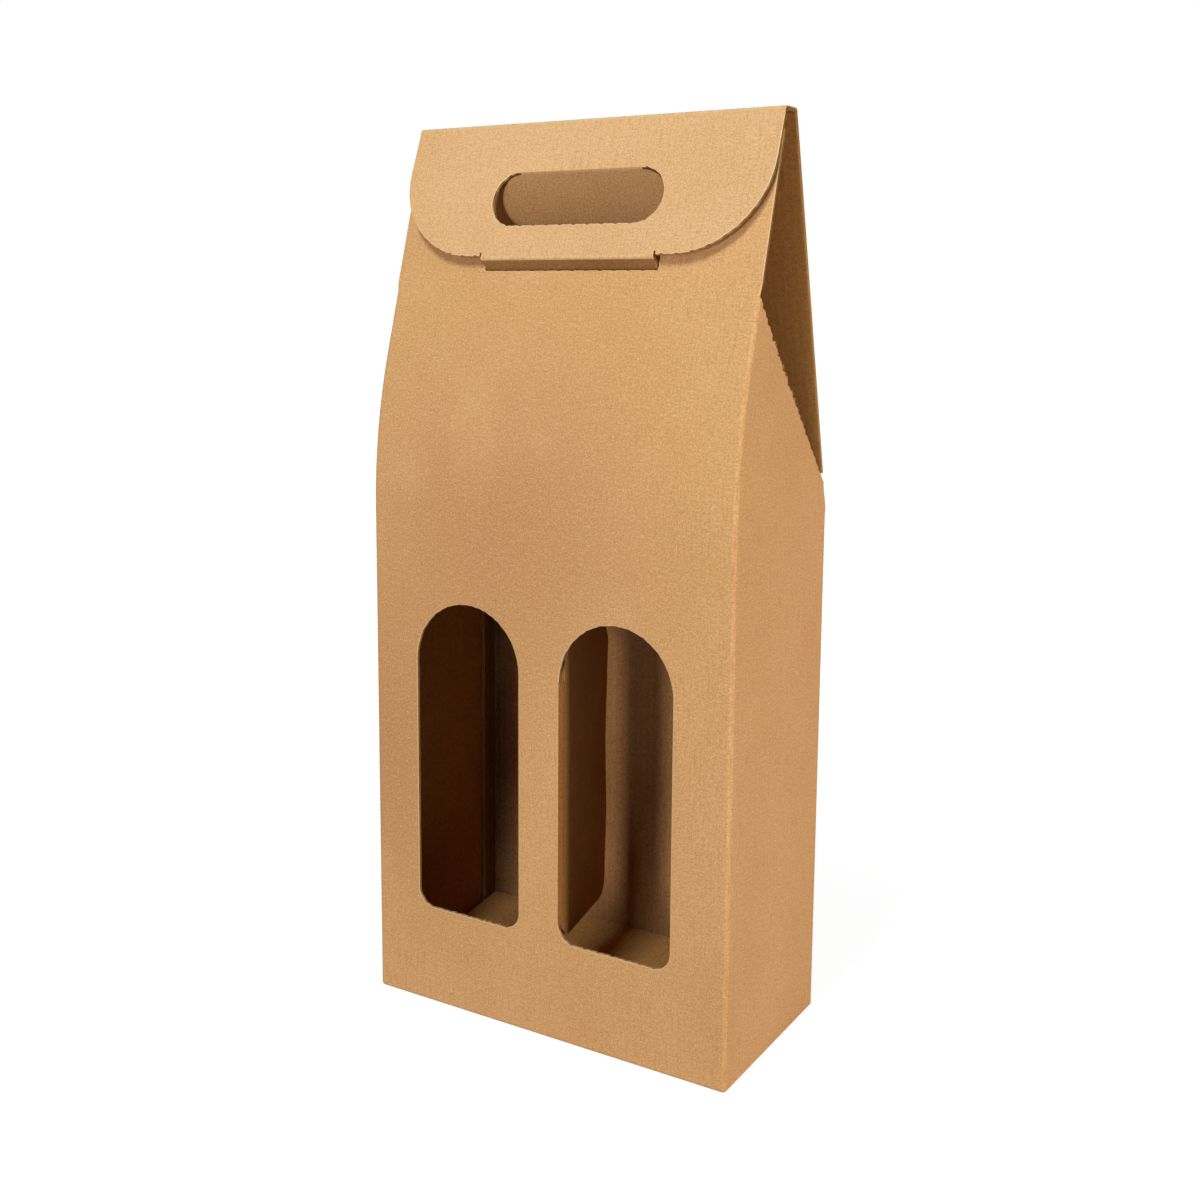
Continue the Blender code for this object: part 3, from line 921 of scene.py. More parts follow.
# A pattern in the paper: grains per millimetre across, along and through the board, the
# noise's detail, and a shift that sets it apart from the others. Grain, specks and fibres
# are drawn coarser than real ones, which are too fine to show in the render.
PATTERNS: dict[str, tuple[Place, float, float]] = {
    "clouds": ((0.02, 0.014, 0.5), 3.0, 11.0),
    "grain": ((0.75, 0.7, 0.8), 3.0, 37.0),
    "fine": ((1.6, 1.4, 0.8), 2.0, 53.0),
    "streak": ((0.9, 0.1, 1.0), 3.0, 71.0),
    "weft": ((0.24, 1.1, 1.0), 2.0, 91.0),
    "specks": ((1.25, 1.05, 1.0), 1.0, 131.0),
    "fibres": ((1.9, 0.5, 1.0), 1.0, 177.0),
}

# What shows in every paper, from the first layer to the last: the pulp's colour, the pattern,
# the values between which it comes up, its share, and whether the paper's streaks scale it.
LAYERS: tuple[tuple[str, str, float, float, float, bool], ...] = (
    ("cloud", "streak", 0.45, 0.7, 1.0, True),
    ("cloud", "weft", 0.5, 0.72, 1.0, True),
    ("fleck", "streak", 0.52, 0.74, 0.7, True),
    ("fibre", "weft", 0.48, 0.28, 0.6, True),
    ("fleck", "grain", 0.5, 0.74, 0.26, False),
    ("fibre", "grain", 0.5, 0.28, 0.24, False),
    ("fleck", "fine", 0.5, 0.7, 0.5, False),
    ("fibre", "fine", 0.5, 0.3, 0.46, False),
    ("fleck", "specks", 0.66, 0.74, 0.8, False),
    ("fibre", "fibres", 0.7, 0.8, 0.6, False),
)


@dataclass(frozen=True)
class PaintedShade:
    """A patch of painted shade: a darker tone round a place in the blank, in millimetres."""

    middle: Point
    reach: Point
    share: float = 1.0


@dataclass(frozen=True)
class KraftPaper:
    """Unbleached kraft liner, machine finished: matt, cloudy, flecked and faintly ribbed.

    The flutes behind it show as a soft washboard, in bumps and in stripes of painted shade, the wire of
    the paper machine as fine streaks along them, and the pulp as clouds, dark flecks and pale fibres.
    Its cut edges get a pale rim, partly loose pale fibre and partly a painted highlight, and some
    papers get patches of painted shade.
    """

    colour: str
    cloud: str
    fleck: str
    fibre: str
    wear: str
    roughness: float = 0.88
    cloudiness: float = 0.5
    # Strength of the stripes of painted shade along the flutes' washboard.
    washboard_shade: float = 0.03
    streaks: float = 0.3
    relief: float = 0.00005
    # How much of the pale wear colour shows on cut edges: partly loose pale fibre, partly a painted
    # highlight of the crushed lip.
    fray_and_highlight: float = 0.75
    sheen: float = 0.3
    # A colour laid along folds in place of the pale wear colour; the outside paper's darker one is
    # painted shade on its folds.
    corner: str | None = None
    # Colour of the patches of painted shade.
    drift: str = "#BC7F50"
    painted_shades: tuple[PaintedShade, ...] = ()

    @staticmethod
    def lay(tree: Tree, under: Any, over: str, pattern: Socket,
            span: Pair, share: float, within: Socket | None = None) -> Socket:
        """Lays a colour over the paper where a pattern comes up.

        Args:
            tree: the material's nodes.
            under: the paper's colour so far.
            over: the colour to lay on it.
            pattern: the pattern.
            span: its values where the new colour starts and where it is full.
            share: how much of the new colour shows there.
            within: a weight that holds it to one part of the paper.
        Returns:
            The paper's colour with the new one on it.
        """
        amount = add_node(tree, "MapRange", {"interpolation_type": "SMOOTHSTEP"},
                          {"Value": pattern, "From Min": span[0], "From Max": span[1],
                           "To Min": 0.0, "To Max": share}).outputs[0]
        if within is not None:
            amount = add_node(tree, "Math", {"operation": "MULTIPLY"},
                              {0: within, 1: amount}).outputs[0]
        return add_node(tree, "Mix", {"data_type": "RGBA"},
                        {0: amount, 6: under, 7: linear(over)}).outputs[2]

    def with_painted_shade(self, tree: Tree, place: Socket, clouds: Socket, under: Socket) -> Socket:
        """Lays the patches of painted shade over the paper, patchy as its clouds are."""
        for drift in self.painted_shades:
            (middle_u, middle_v), (reach_u, reach_v) = drift.middle, drift.reach
            near = add_node(tree, "Mapping", {"vector_type": "POINT"},
                            {"Vector": place, "Scale": (1 / reach_u, 1 / reach_v, 0.0),
                             "Location": (-middle_u / reach_u, -middle_v / reach_v, 0.0)}).outputs[0]
            far = add_node(tree, "VectorMath", {"operation": "LENGTH"}, {0: near}).outputs["Value"]
            within = add_node(tree, "MapRange", {"interpolation_type": "SMOOTHSTEP"},
                              {"Value": far, "From Min": 1.0, "From Max": 0.0,
                               "To Min": 0.0, "To Max": drift.share}).outputs[0]
            under = self.lay(tree, under, self.drift, clouds, (0.15, 0.5), 1.0, within)
        return under

    def material(self, name: str) -> bpy.types.Material:
        """Builds the material; every pattern reads the place in the blank, in millimetres."""
        made = bpy.data.materials.new(name)
        made.use_nodes = True
        tree = made.node_tree
        tree.nodes.clear()
        place = add_node(tree, "Attribute", {"attribute_name": "blank_place"}).outputs["Vector"]
        edge = add_node(tree, "Attribute", {"attribute_name": "cut_edge"}).outputs["Fac"]
        fold = add_node(tree, "Attribute", {"attribute_name": "fold_wear_and_shade"}).outputs["Fac"]
        pattern: dict[str, Socket] = {}
        for key, (scale, detail, shift) in PATTERNS.items():
            moved = add_node(tree, "Mapping", {"vector_type": "POINT"},
                             {"Vector": place, "Location": (shift, shift * 1.7, 0.0), "Scale": scale})
            pattern[key] = add_node(tree, "TexNoise", {"noise_dimensions": "3D"},
                                    {"Vector": moved.outputs[0], "Scale": 1.0, "Detail": detail,
                                     "Roughness": 0.6}).outputs["Fac"]
        across = add_node(tree, "SeparateXYZ", {}, {0: place}).outputs[0]
        turn = add_node(tree, "Math", {"operation": "MULTIPLY"},
                        {0: across, 1: 2 * math.pi / BOARD.pitch}).outputs[0]
        rib = add_node(tree, "Math", {"operation": "COSINE"}, {0: turn}).outputs[0]

        colour = self.lay(tree, linear(self.colour), self.cloud, pattern["clouds"], (0.36, 0.66),
                          self.cloudiness)
        # Patches of painted shade.
        colour = self.with_painted_shade(tree, place, pattern["clouds"], colour)
        for over, key, low, high, share, streaked in LAYERS:
            colour = self.lay(tree, colour, getattr(self, over), pattern[key], (low, high),
                              share * (self.streaks if streaked else 1.0))
        # Stripes of painted shade along the washboard of the flutes.
        colour = self.lay(tree, colour, self.cloud, rib, (0.2, 1.0), self.washboard_shade * 4)
        # Wear along folds in the pale wear colour; where the paper gives a corner colour, painted shade
        # on its folds instead.
        colour = self.lay(tree, colour, self.corner or self.wear, pattern["streak"], (0.36, 0.66),
                          0.6, fold)
        # Pale rim on the cut edges: partly loose pale fibre, partly a painted highlight of the crushed
        # lip.
        rim_fray_and_highlight = add_node(tree, "Math", {"operation": "MULTIPLY"}, {0: edge, 1: self.fray_and_highlight}).outputs[0]
        colour = add_node(tree, "Mix", {"data_type": "RGBA"},
                          {0: rim_fray_and_highlight, 6: colour, 7: linear(self.wear)}).outputs[2]

        height: Any = 0.0
        for value, weight in ((rib, -0.2), (pattern["grain"], 0.55), (pattern["streak"], 0.7),
                              (pattern["fibres"], 0.5)):
            height = add_node(tree, "Math", {"operation": "MULTIPLY_ADD"},
                              {0: value, 1: weight, 2: height}).outputs[0]
        bump = add_node(tree, "Bump", {}, {"Strength": 1.0, "Distance": self.relief, "Height": height})
        shader = add_node(tree, "BsdfPrincipled", {},
                          {"Base Color": colour, "Roughness": self.roughness,
                           "Specular IOR Level": self.sheen, "Normal": bump.outputs[0]})
        add_node(tree, "OutputMaterial", {}, {"Surface": shader.outputs[0]})
        return made


def kraft_papers() -> dict[Finish, KraftPaper]:
    """The papers: an outside and an inside liner, their lighter copies as painted light and their
    darker copies and patches as painted shade, the medium, torn fibre and a crushed score.
    """
    # The outside paper. Its patches darken the front's left and middle, most at its lower left: painted
    # shade. Its corner colour darkens its folds: painted shade that tones down their highlight.
    outside = KraftPaper("#D69D65", "#CA9056", "#A8723D", "#E6BC86", "#E8C18D", streaks=0.4,
                         corner="#AD7540", painted_shades=(PaintedShade((-90.0, 120.0), (100.0, 130.0)),
                                                   PaintedShade((-25.0, 225.0), (120.0, 140.0), 0.85)))
    # A paler copy of the outside paper for the boards of the top: painted light.
    top = KraftPaper("#DDA772", "#D19A62", "#AE7A46", "#EBC592", "#EBC896", streaks=0.4)
    inside = KraftPaper("#B57C42", "#A36A31", "#74471F", "#C08D55", "#CB9A5E", sheen=0.12,
                        washboard_shade=0.05, relief=0.00008)
    return {
        Finish.OUTSIDE: outside,
        Finish.TOP: top,
        # The slope's outer face: the paler top paper, painted light, darker towards the slope's foot,
        # where that painted light fades out.
        Finish.SLOPE: replace(top, drift="#D29962", painted_shades=(PaintedShade((300.0, 228.0), (400.0, 175.0)),)),
        Finish.INSIDE: inside,
        # The floor's inside paper, with a darker patch on its left half: painted shade.
        Finish.FLOOR: replace(inside, drift="#744520", painted_shades=(PaintedShade((-50.0, -650.0), (46.0, 90.0)),)),
        # A darker copy of the inside paper for the left side panel's inner face: painted shade.
        Finish.LEFT: replace(inside, colour="#A5682F", cloud="#915824", fleck="#683C18",
                             fibre="#B57E48"),
        # A much darker copy of the inside paper for the glued seam: painted shade.
        Finish.SEAM: replace(inside, colour="#7A4A20", cloud="#683C18", fleck="#4A270E",
                             fibre="#8D5E32", wear="#A87A48"),
        # A lighter copy of the inside paper for the back wall's inner face, painted light, with a dark
        # band at its left end, a painted shadow.
        Finish.BACK: replace(inside, colour="#BF8754", cloud="#AD7444", fleck="#7E5028",
                             fibre="#CB9A6C", washboard_shade=0.1, drift="#3D1D0A",
                             painted_shades=(PaintedShade((212.0, 120.0), (18.0, 220.0)),)),
        # A much lighter paper for the back slope's inner face, painted light, darker round its middle,
        # painted shade.
        Finish.LIGHT: KraftPaper("#E2984E", "#D3883F", "#A86C34", "#EDAE6A", "#D8A265", washboard_shade=0.05,
                                 drift="#A36E38", painted_shades=(PaintedShade((300.0, 345.0), (100.0, 190.0)),)),
        # A darker paper for the handle tongue and its crease: painted shade, as the tongue faces down
        # in its hole.
        Finish.SHADED_TONGUE: KraftPaper("#B27E4E", "#A16E3E", "#794C28", "#C59664", "#BC8A58"),
        # A darker paper for the lock tab: painted shade, as the tab faces down.
        Finish.SHADED_TAB: KraftPaper("#A4713E", "#8E5C2E", "#6B4220", "#BD8E5A", "#CFA26C",
                                  cloudiness=0.8),
        # A dark paper for the divider's crease: a crushed score, darkened further as painted shade.
        Finish.SHADED_SCORE: KraftPaper("#8A5628", "#77461E", "#5E3614", "#A06A38", "#8F5B2D", washboard_shade=0.0,
                                 sheen=0.1),
        Finish.MEDIUM: KraftPaper("#A77B4E", "#8D6238", "#6B4625", "#CFA877", "#D2AC7A", washboard_shade=0.0,
                                  relief=0.00008),
        Finish.TORN: KraftPaper("#E9CFA4", "#D8B280", "#C09360", "#F3E2C4", "#F3E2C4", washboard_shade=0.0),
    }


KRAFT_PAPERS = kraft_papers()


# ---------------------------------------------------------------- carton


def settle(piece: Piece, body: str, node: str | None) -> Piece:
    """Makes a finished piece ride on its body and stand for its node."""
    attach(piece, body)
    if node:
        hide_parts(node)
    log.info("%s rides on %s, %d faces", piece.name, body, len(piece.data.polygons))
    return piece


@dataclass
class TornFibres:
    """Tufts of paper fibre that a worn knife leaves standing on a cut edge, in millimetres."""

    name: str
    fold: Fold
    seed: int
    count: int
    length: Pair
    width: float = 0.14
    thickness: float = 0.06
    bend: float = 0.5
    lift: Pair = (-0.7, 0.3)
    depths: tuple[float, ...] = (0.12, 0.3, 0.8, 1.45)
    rooted: float = 0.15
    least_depth: float = 0.04
    apart: float = 4.0

    def spindles(self) -> Piece:
        """A row of small spindles, one for each tuft."""
        Bench.clear()
        bpy.ops.mesh.primitive_uv_sphere_add(segments=4, ring_count=4, radius=1.0)
        piece = bpy.context.object
        with Bench.opened(piece):
            for place in range(1, self.count):
                bpy.ops.mesh.primitive_uv_sphere_add(segments=4, ring_count=4, radius=1.0,
                                                     location=(self.apart * place, 0.0, 0.0))
        return piece

    def build(self, rim: Loop, off: Sequence[Point]) -> Piece:
        """Draws each tuft out of a small spindle and leans it over the edge.

        Args:
            rim: places along the edge, in the blank.
            off: unit direction off the board at each place.
        Returns:
            All the tufts of the edge as one piece.
        """
        piece = self.spindles()
        spindle = Bench.points(piece)
        tuft = np.rint(spindle[:, 0] / self.apart).astype(int)
        spindle[:, 0] -= self.apart * tuft
        draw = np.random.default_rng(self.seed)
        at = draw.uniform(0.0, len(rim) - 1.0, self.count)
        places = np.arange(len(rim))
        root = np.column_stack([np.interp(at, places, np.array(rim)[:, k]) for k in (0, 1)])[tuft]
        out = np.column_stack([np.interp(at, places, np.array(off)[:, k]) for k in (0, 1)])[tuft]
        length = draw.uniform(*self.length, self.count)[tuft]
        lean = draw.normal(0.0, self.bend, self.count)[tuft]
        curl = draw.normal(0.0, self.bend, self.count)[tuft]
        lift = draw.uniform(*self.lift, self.count)[tuft]
        depth = draw.choice(self.depths, self.count)[tuft]
        run = (spindle[:, 2] + 1.0) / 2 * length
        drift = lean * run + curl * run ** 2 + self.width * spindle[:, 0]
        u = root[:, 0] + out[:, 0] * (run - self.rooted) - out[:, 1] * drift
        v = root[:, 1] + out[:, 1] * (run - self.rooted) + out[:, 0] * drift
        d = depth + lift * run + self.thickness * spindle[:, 1]
        d = np.clip(d, self.least_depth, CALIPER)
        plain = np.zeros_like(u)
        Bench.dress(piece, np.column_stack((u, v, d)), plain, plain, Finish.TORN)
        Bench.lay(piece, self.fold(u, v, d)[0] * MM)
        piece.name = piece.data.name = self.name
        Bench.finish(piece, 60.0)
        return settle(piece, "carton", None)


@dataclass
class Shell:
    """The four walls of the carton and the glued seam."""

    shape: CartonShape
    window_width: float = 54.8
    window_lefts: Pair = (-66.4, 8.8)
    window_sill: float = 45.5
    window_top: float = 188.0
    window_corner: float = 8.0
    slot_half: float = 43.0
    slot_top: float = 344.5
    slot_lips: Pair = (334.55, 333.65)
    slot_chamfer: float = 0.8
    hole_width: float = 88.0
    hole_height: float = 27.8
    hole_middle: float = 365.8
    seam_width: float = 9.0
    seam_feet: Pair = (11.0, 5.0)
    seam_chamfer: float = 6.0
    foot_zone: float = 3.0
    side_zone: float = 86.0
    corner_scores: int = 5
    foot_scores: int = 6
    bow_scores: int = 18
    gusset_scores: tuple[int, int] = (24, 16)
    sill_tufts: int = 16
    sill_lengths: tuple[Pair, Pair] = ((0.3, 0.7), (0.1, 0.28))
    sill_seed: int = 19
    gusset_tufts: int = 60
    gusset_lengths: Pair = (0.5, 1.7)
    gusset_seed: int = 7

    def foot_rows(self) -> list[float]:
        """V of the score lines across a wall's foot fold."""
        return steps(self.shape.foot, CALIPER, self.foot_scores)[1:]

    def front_outline(self) -> Loop:
        """The front: folded at its sides up to the gussets' tips, cut above them."""
        shape = self.shape
        folded = shape.corner_start + shape.corner_run
        free = shape.half_width - shape.crease
        top = shape.front_v(shape.ridge_top - shape.front_top_drop)
        right = [(folded, shape.foot), (folded, shape.tip)]
        right += [(folded + (free - folded) * ease(t), shape.tip + shape.wrap_run * t)
                  for t in steps(0.0, 1.0, 6)[1:]]
        return Outline.mirrored(right + [(free, top)])

    def slot(self, lip: float) -> Loop:
        """The lock tab's slot, its lip at the given v."""
        half, top, corner = self.slot_half, self.slot_top, self.slot_chamfer
        return [(half - corner, lip), (half, lip + corner), (half, top), (-half, top),
                (-half, lip + corner), (-half + corner, lip)]

    def front(self) -> None:
        """The front panel with its windows, its slot and the hole behind the handle."""
        shape = self.shape
        windows = [Outline.arched(left, self.window_width, self.window_sill, self.window_top,
                                  self.window_corner) for left in self.window_lefts]
        hole = Outline.obround(self.hole_width, self.hole_height, self.hole_middle)
        loops = [[self.front_outline(), *windows, self.slot(lip), hole] for lip in self.slot_lips]
        low, high = self.window_sill + self.window_corner, self.window_top - self.window_width / 2

        def is_cut(u: Values, v: Values) -> Values:
            """The sides below the tips, the foot and the divider's crease are folds."""
            crease = (np.abs(u - self.window_lefts[1]) < 0.5) & (v > low) & (v < high)
            free = (np.abs(u) < self.side_zone) | (v > shape.tip + 1.5)
            return ((v > self.foot_zone) & free & ~crease).astype(float)

        rows = self.foot_rows() + steps(shape.bow_start, shape.bow_end, self.bow_scores)
        rows += steps(shape.tip, shape.tip + shape.wrap_run, 6)
        scores = steps(shape.corner_start, shape.corner_start + shape.corner_run, self.corner_scores)
        columns = [-u for u in scores[:-1]] + scores[:-1]
        BoardPiece("front_board", loops[0], shape.front, is_cut, sorted(rows), columns,
                   inner_loops=loops[1]).settle("carton", "front_panel", "kraft_outside")

    def sill_fibres(self) -> None:
        """Torn fibres on the window sills, short at the right one, where the divider swings."""
        for side, left, lengths in zip(Side, self.window_lefts, self.sill_lengths):
            ends = (left + self.window_corner, left + self.window_width - self.window_corner)
            sill = [(u, self.window_sill + 0.1) for u in steps(*ends, 8)]
            tufts = TornFibres(f"{side.name.lower()}_sill_fibres", self.shape.front, self.sill_seed,
                               self.sill_tufts, lengths)
            tufts.build(sill, [(0.0, 1.0)] * len(sill))

    def side(self, side: Side) -> None:
        """A side panel with its pointed, bowed gusset."""
        shape, name = self.shape, side.name.lower()
        front_q = shape.fold_radius - shape.corner_run
        wide = 2 * shape.half_depth
        rear_q = wide - shape.crease
        columns = steps(front_q, shape.fold_radius, self.corner_scores)[1:]
        columns += steps(8.0, 84.0, self.gusset_scores[1])
        # The left panel's inner face takes a darker copy of the inside paper: painted shade.
        blank_at, inside = (-200.0, 3.0), Finish.LEFT
        if side is Side.RIGHT:
            rear_q = wide - shape.fold_radius + shape.corner_run
            columns += steps(wide - shape.fold_radius, rear_q, self.corner_scores)[:-1]
            blank_at, inside = (shape.half_width, 0.0), Finish.INSIDE
        tip_z = shape.ridge_top - shape.tip_drop
        tip_y = shape.bow_end_place[0] + (tip_z - shape.bow_end_place[1]) * math.tan(shape.lean)
        tip_y += shape.crease + shape.tip_land
        tip_v = shape.to_side(tip_y, tip_z)[1]
        rear_z = shape.shoulder + shape.gusset_rear_rise
        rear_y = shape.rear_y(rear_z)
        start = shape.shoulder - shape.crease
        outline = [(front_q, shape.foot), (rear_q, shape.foot), (rear_q, start)]
        outline += [shape.to_side(shape.rear_y(z), z)
                    for z in (shape.shoulder, *steps(shape.shoulder + 1.5, rear_z, 4))]
        rim = [shape.to_side(rear_y + (tip_y - rear_y) * t, rear_z + (tip_z - rear_z) * t)
               for t in steps(0.0, 1.0, 14)[1:-1]]
        outline += rim + [shape.to_side(tip_y, tip_z), (front_q, tip_v + 0.1)]

        def is_cut(q: Values, v: Values) -> Values:
            """The front edge and foot are folds, and the right panel's rear edge is too."""
            free_rear = (v > start) | (side is Side.LEFT)
            free = (q > shape.fold_radius) & ((q < self.side_zone) | free_rear)
            return ((v > self.foot_zone) & free).astype(float)

        rows = self.foot_rows() + [shape.bow_start]
        rows += steps(shape.shoulder - CALIPER, shape.tip, self.gusset_scores[0])
        BoardPiece(f"{name}_side_board", [outline], shape.side(side), is_cut, sorted(rows),
                   columns, blank_at, bite=BOARD.gusset_bite, inside=inside
                   ).settle("carton", f"{name}_side_panel", "kraft_outside")
        torn = rim[3:-2]
        off = (torn[-1][1] - torn[0][1], torn[0][0] - torn[-1][0])
        length = math.hypot(*off)
        tufts = TornFibres(f"{name}_gusset_fibres", shape.side(side), self.gusset_seed + side.value,
                           self.gusset_tufts, self.gusset_lengths)
        tufts.build(torn, [(off[0] / length, off[1] / length)] * len(torn))

    def back(self) -> None:
        """The back panel, whose left end turns into the glued seam."""
        shape = self.shape
        right = shape.corner_start + shape.corner_run
        seam = shape.half_width - 2 * CALIPER - shape.gap
        left = -seam - CALIPER / 2 * math.pi / 2
        outline = Outline.box(left, shape.foot, right, shape.shoulder - shape.crease)
        columns = steps(shape.corner_start, right, self.corner_scores)[:-1]
        columns += steps(left, -seam, self.foot_scores)[1:]
        # Its inner face takes a lighter copy of the inside paper, painted light, with a dark band at
        # its left end, a painted shadow.
        BoardPiece("back_board", [outline], shape.back, nowhere, self.foot_rows(), columns,
                   (shape.blank_back, 0.0), inside=Finish.BACK
                   ).settle("carton", "back_panel", "kraft_outside")

    def seam(self) -> None:
        """The glued strip inside the left wall at the back corner."""
        shape = self.shape
        front_edge = shape.half_depth - CALIPER - shape.crease - self.seam_width
        rear_edge = shape.half_depth - CALIPER - shape.gap
        top = shape.shoulder - CALIPER
        outline = [(front_edge, self.seam_feet[0]), (rear_edge, self.seam_feet[1]),
                   (rear_edge, top), (front_edge, top - self.seam_chamfer)]
        wall = FlatBoard((-(shape.half_width - CALIPER - shape.gap), 0.0, 0.0), Y, Z, X)
        # Its inner face takes a much darker copy of the inside paper: painted shade.
        BoardPiece("glue_seam_board", [outline], wall.fold, blank_at=(420.0, 0.0),
                   inside=Finish.SEAM).settle("carton", "glue_seam_strip", "kraft_inside")

    def build(self) -> None:
        """Builds all the walls."""
        self.front()
        self.sill_fibres()
        self.side(Side.LEFT)
        self.side(Side.RIGHT)
        self.back()
        self.seam()


@dataclass
class Bottom:
    """The snap-lock bottom: four flaps and the tongue that locks them."""

    shape: CartonShape
    floor_rise: float = 10.0
    side_reach: float = 46.0
    side_taper: float = 18.0
    back_set_back: float = 4.2
    back_taper: float = 10.0
    edge_beside_tongue: float = 15.0
    tongue_width: float = 60.0
    tongue_height: float = 13.0
    tongue_chamfer: float = 6.0

    @property
    def inner(self) -> float:
        """Y of the back wall's inner face."""
        return self.shape.half_depth - CALIPER

    @property
    def tongue_y(self) -> float:
        """Y of the lock tongue's inner face, just behind the back flap's free edge."""
        return -self.inner + self.back_set_back - self.shape.gap

    def back_flap(self) -> None:
        """The outer flap, which the carton stands on."""
        shape = self.shape
        half = shape.half_width - CALIPER - shape.gap
        free = -self.inner + self.back_set_back
        corner = self.tongue_width / 2 + self.edge_beside_tongue
        outline = Outline.mirrored([(corner, free), (half - self.back_taper, free + self.back_taper),
                                    (half, self.inner - shape.crease)])
        BoardPiece("bottom_back_board", [outline], FlatBoard((0.0, 0.0, 0.0)).fold,
                   blank_at=(0.0, -400.0)).settle("carton", "bottom_back_flap", "kraft_outside")

    def lock_tongue(self) -> None:
        """The tongue of the back flap, which stands up behind the front and locks the floor."""
        half, low, high = self.tongue_width / 2, self.tongue_chamfer, self.tongue_height
        outline = Outline.mirrored([(half, self.shape.crease / 2), (half, high - low),
                                    (half - low, high)])
        upright = FlatBoard((0.0, self.tongue_y - CALIPER, 0.0), X, Z, Y)
        BoardPiece("bottom_lock_board", [outline], upright.fold,
                   blank_at=(0.0, -500.0)).settle("carton", "bottom_lock_tongue", "kraft_inside")

    def side_flap(self, side: Side) -> None:
        """One of the two flaps between the back flap and the floor."""
        gap = self.shape.gap
        wall = self.shape.half_width - CALIPER - gap
        far, reach = wall - self.side_reach, self.inner - 2 * gap
        flap = [(far, -reach + self.side_taper), (wall, -reach), (wall, reach),
                (far, reach - self.side_taper)]
        if side is Side.LEFT:
            flap = [(-u, v) for u, v in reversed(flap)]
        name, level = side.name.lower(), FlatBoard((0.0, 0.0, CALIPER + gap))
        BoardPiece(f"bottom_{name}_board", [flap], level.fold,
                   blank_at=(150.0 * side.value, -600.0)
                   ).settle("carton", f"bottom_{name}_flap", "kraft_inside")

    def floor(self) -> None:
        """The floor that shows through the windows, with the slit that the tongue holds."""
        board, gap, inner = CALIPER, self.shape.gap, self.inner
        slope = math.atan2(self.floor_rise, 2 * inner)
        length = (2 * inner - 2 * gap) / math.cos(slope) - board * math.tan(slope)
        half = self.shape.half_width - 2 * board - 2 * gap
        base_y = -inner + gap + board * math.sin(slope)
        base_z = 2 * (board + gap)
        room = 2 * gap
        low = (self.tongue_y - board - room - base_y) / math.cos(slope)
        high = (self.tongue_y + room - base_y) / math.cos(slope)
        slit_half = self.tongue_width / 2 + room
        loops = [Outline.box(-half, 0.0, half, length), Outline.box(-slit_half, low, slit_half, high)]
        tilted = FlatBoard((0.0, base_y, base_z), X, (0.0, math.cos(slope), math.sin(slope)),
                           (0.0, -math.sin(slope), math.cos(slope)))
        # Its inner face takes the inside paper with a darker patch on its left half: painted shade.
        BoardPiece("floor_board", loops, tilted.fold, blank_at=(0.0, -700.0),
                   inside=Finish.FLOOR).settle("carton", "bottom_front_flap", "kraft_inside")

    def build(self) -> None:
        """Builds the flaps from the lowest to the floor."""
        self.back_flap()
        self.lock_tongue()
        for side in Side:
            self.side_flap(side)
        self.floor()


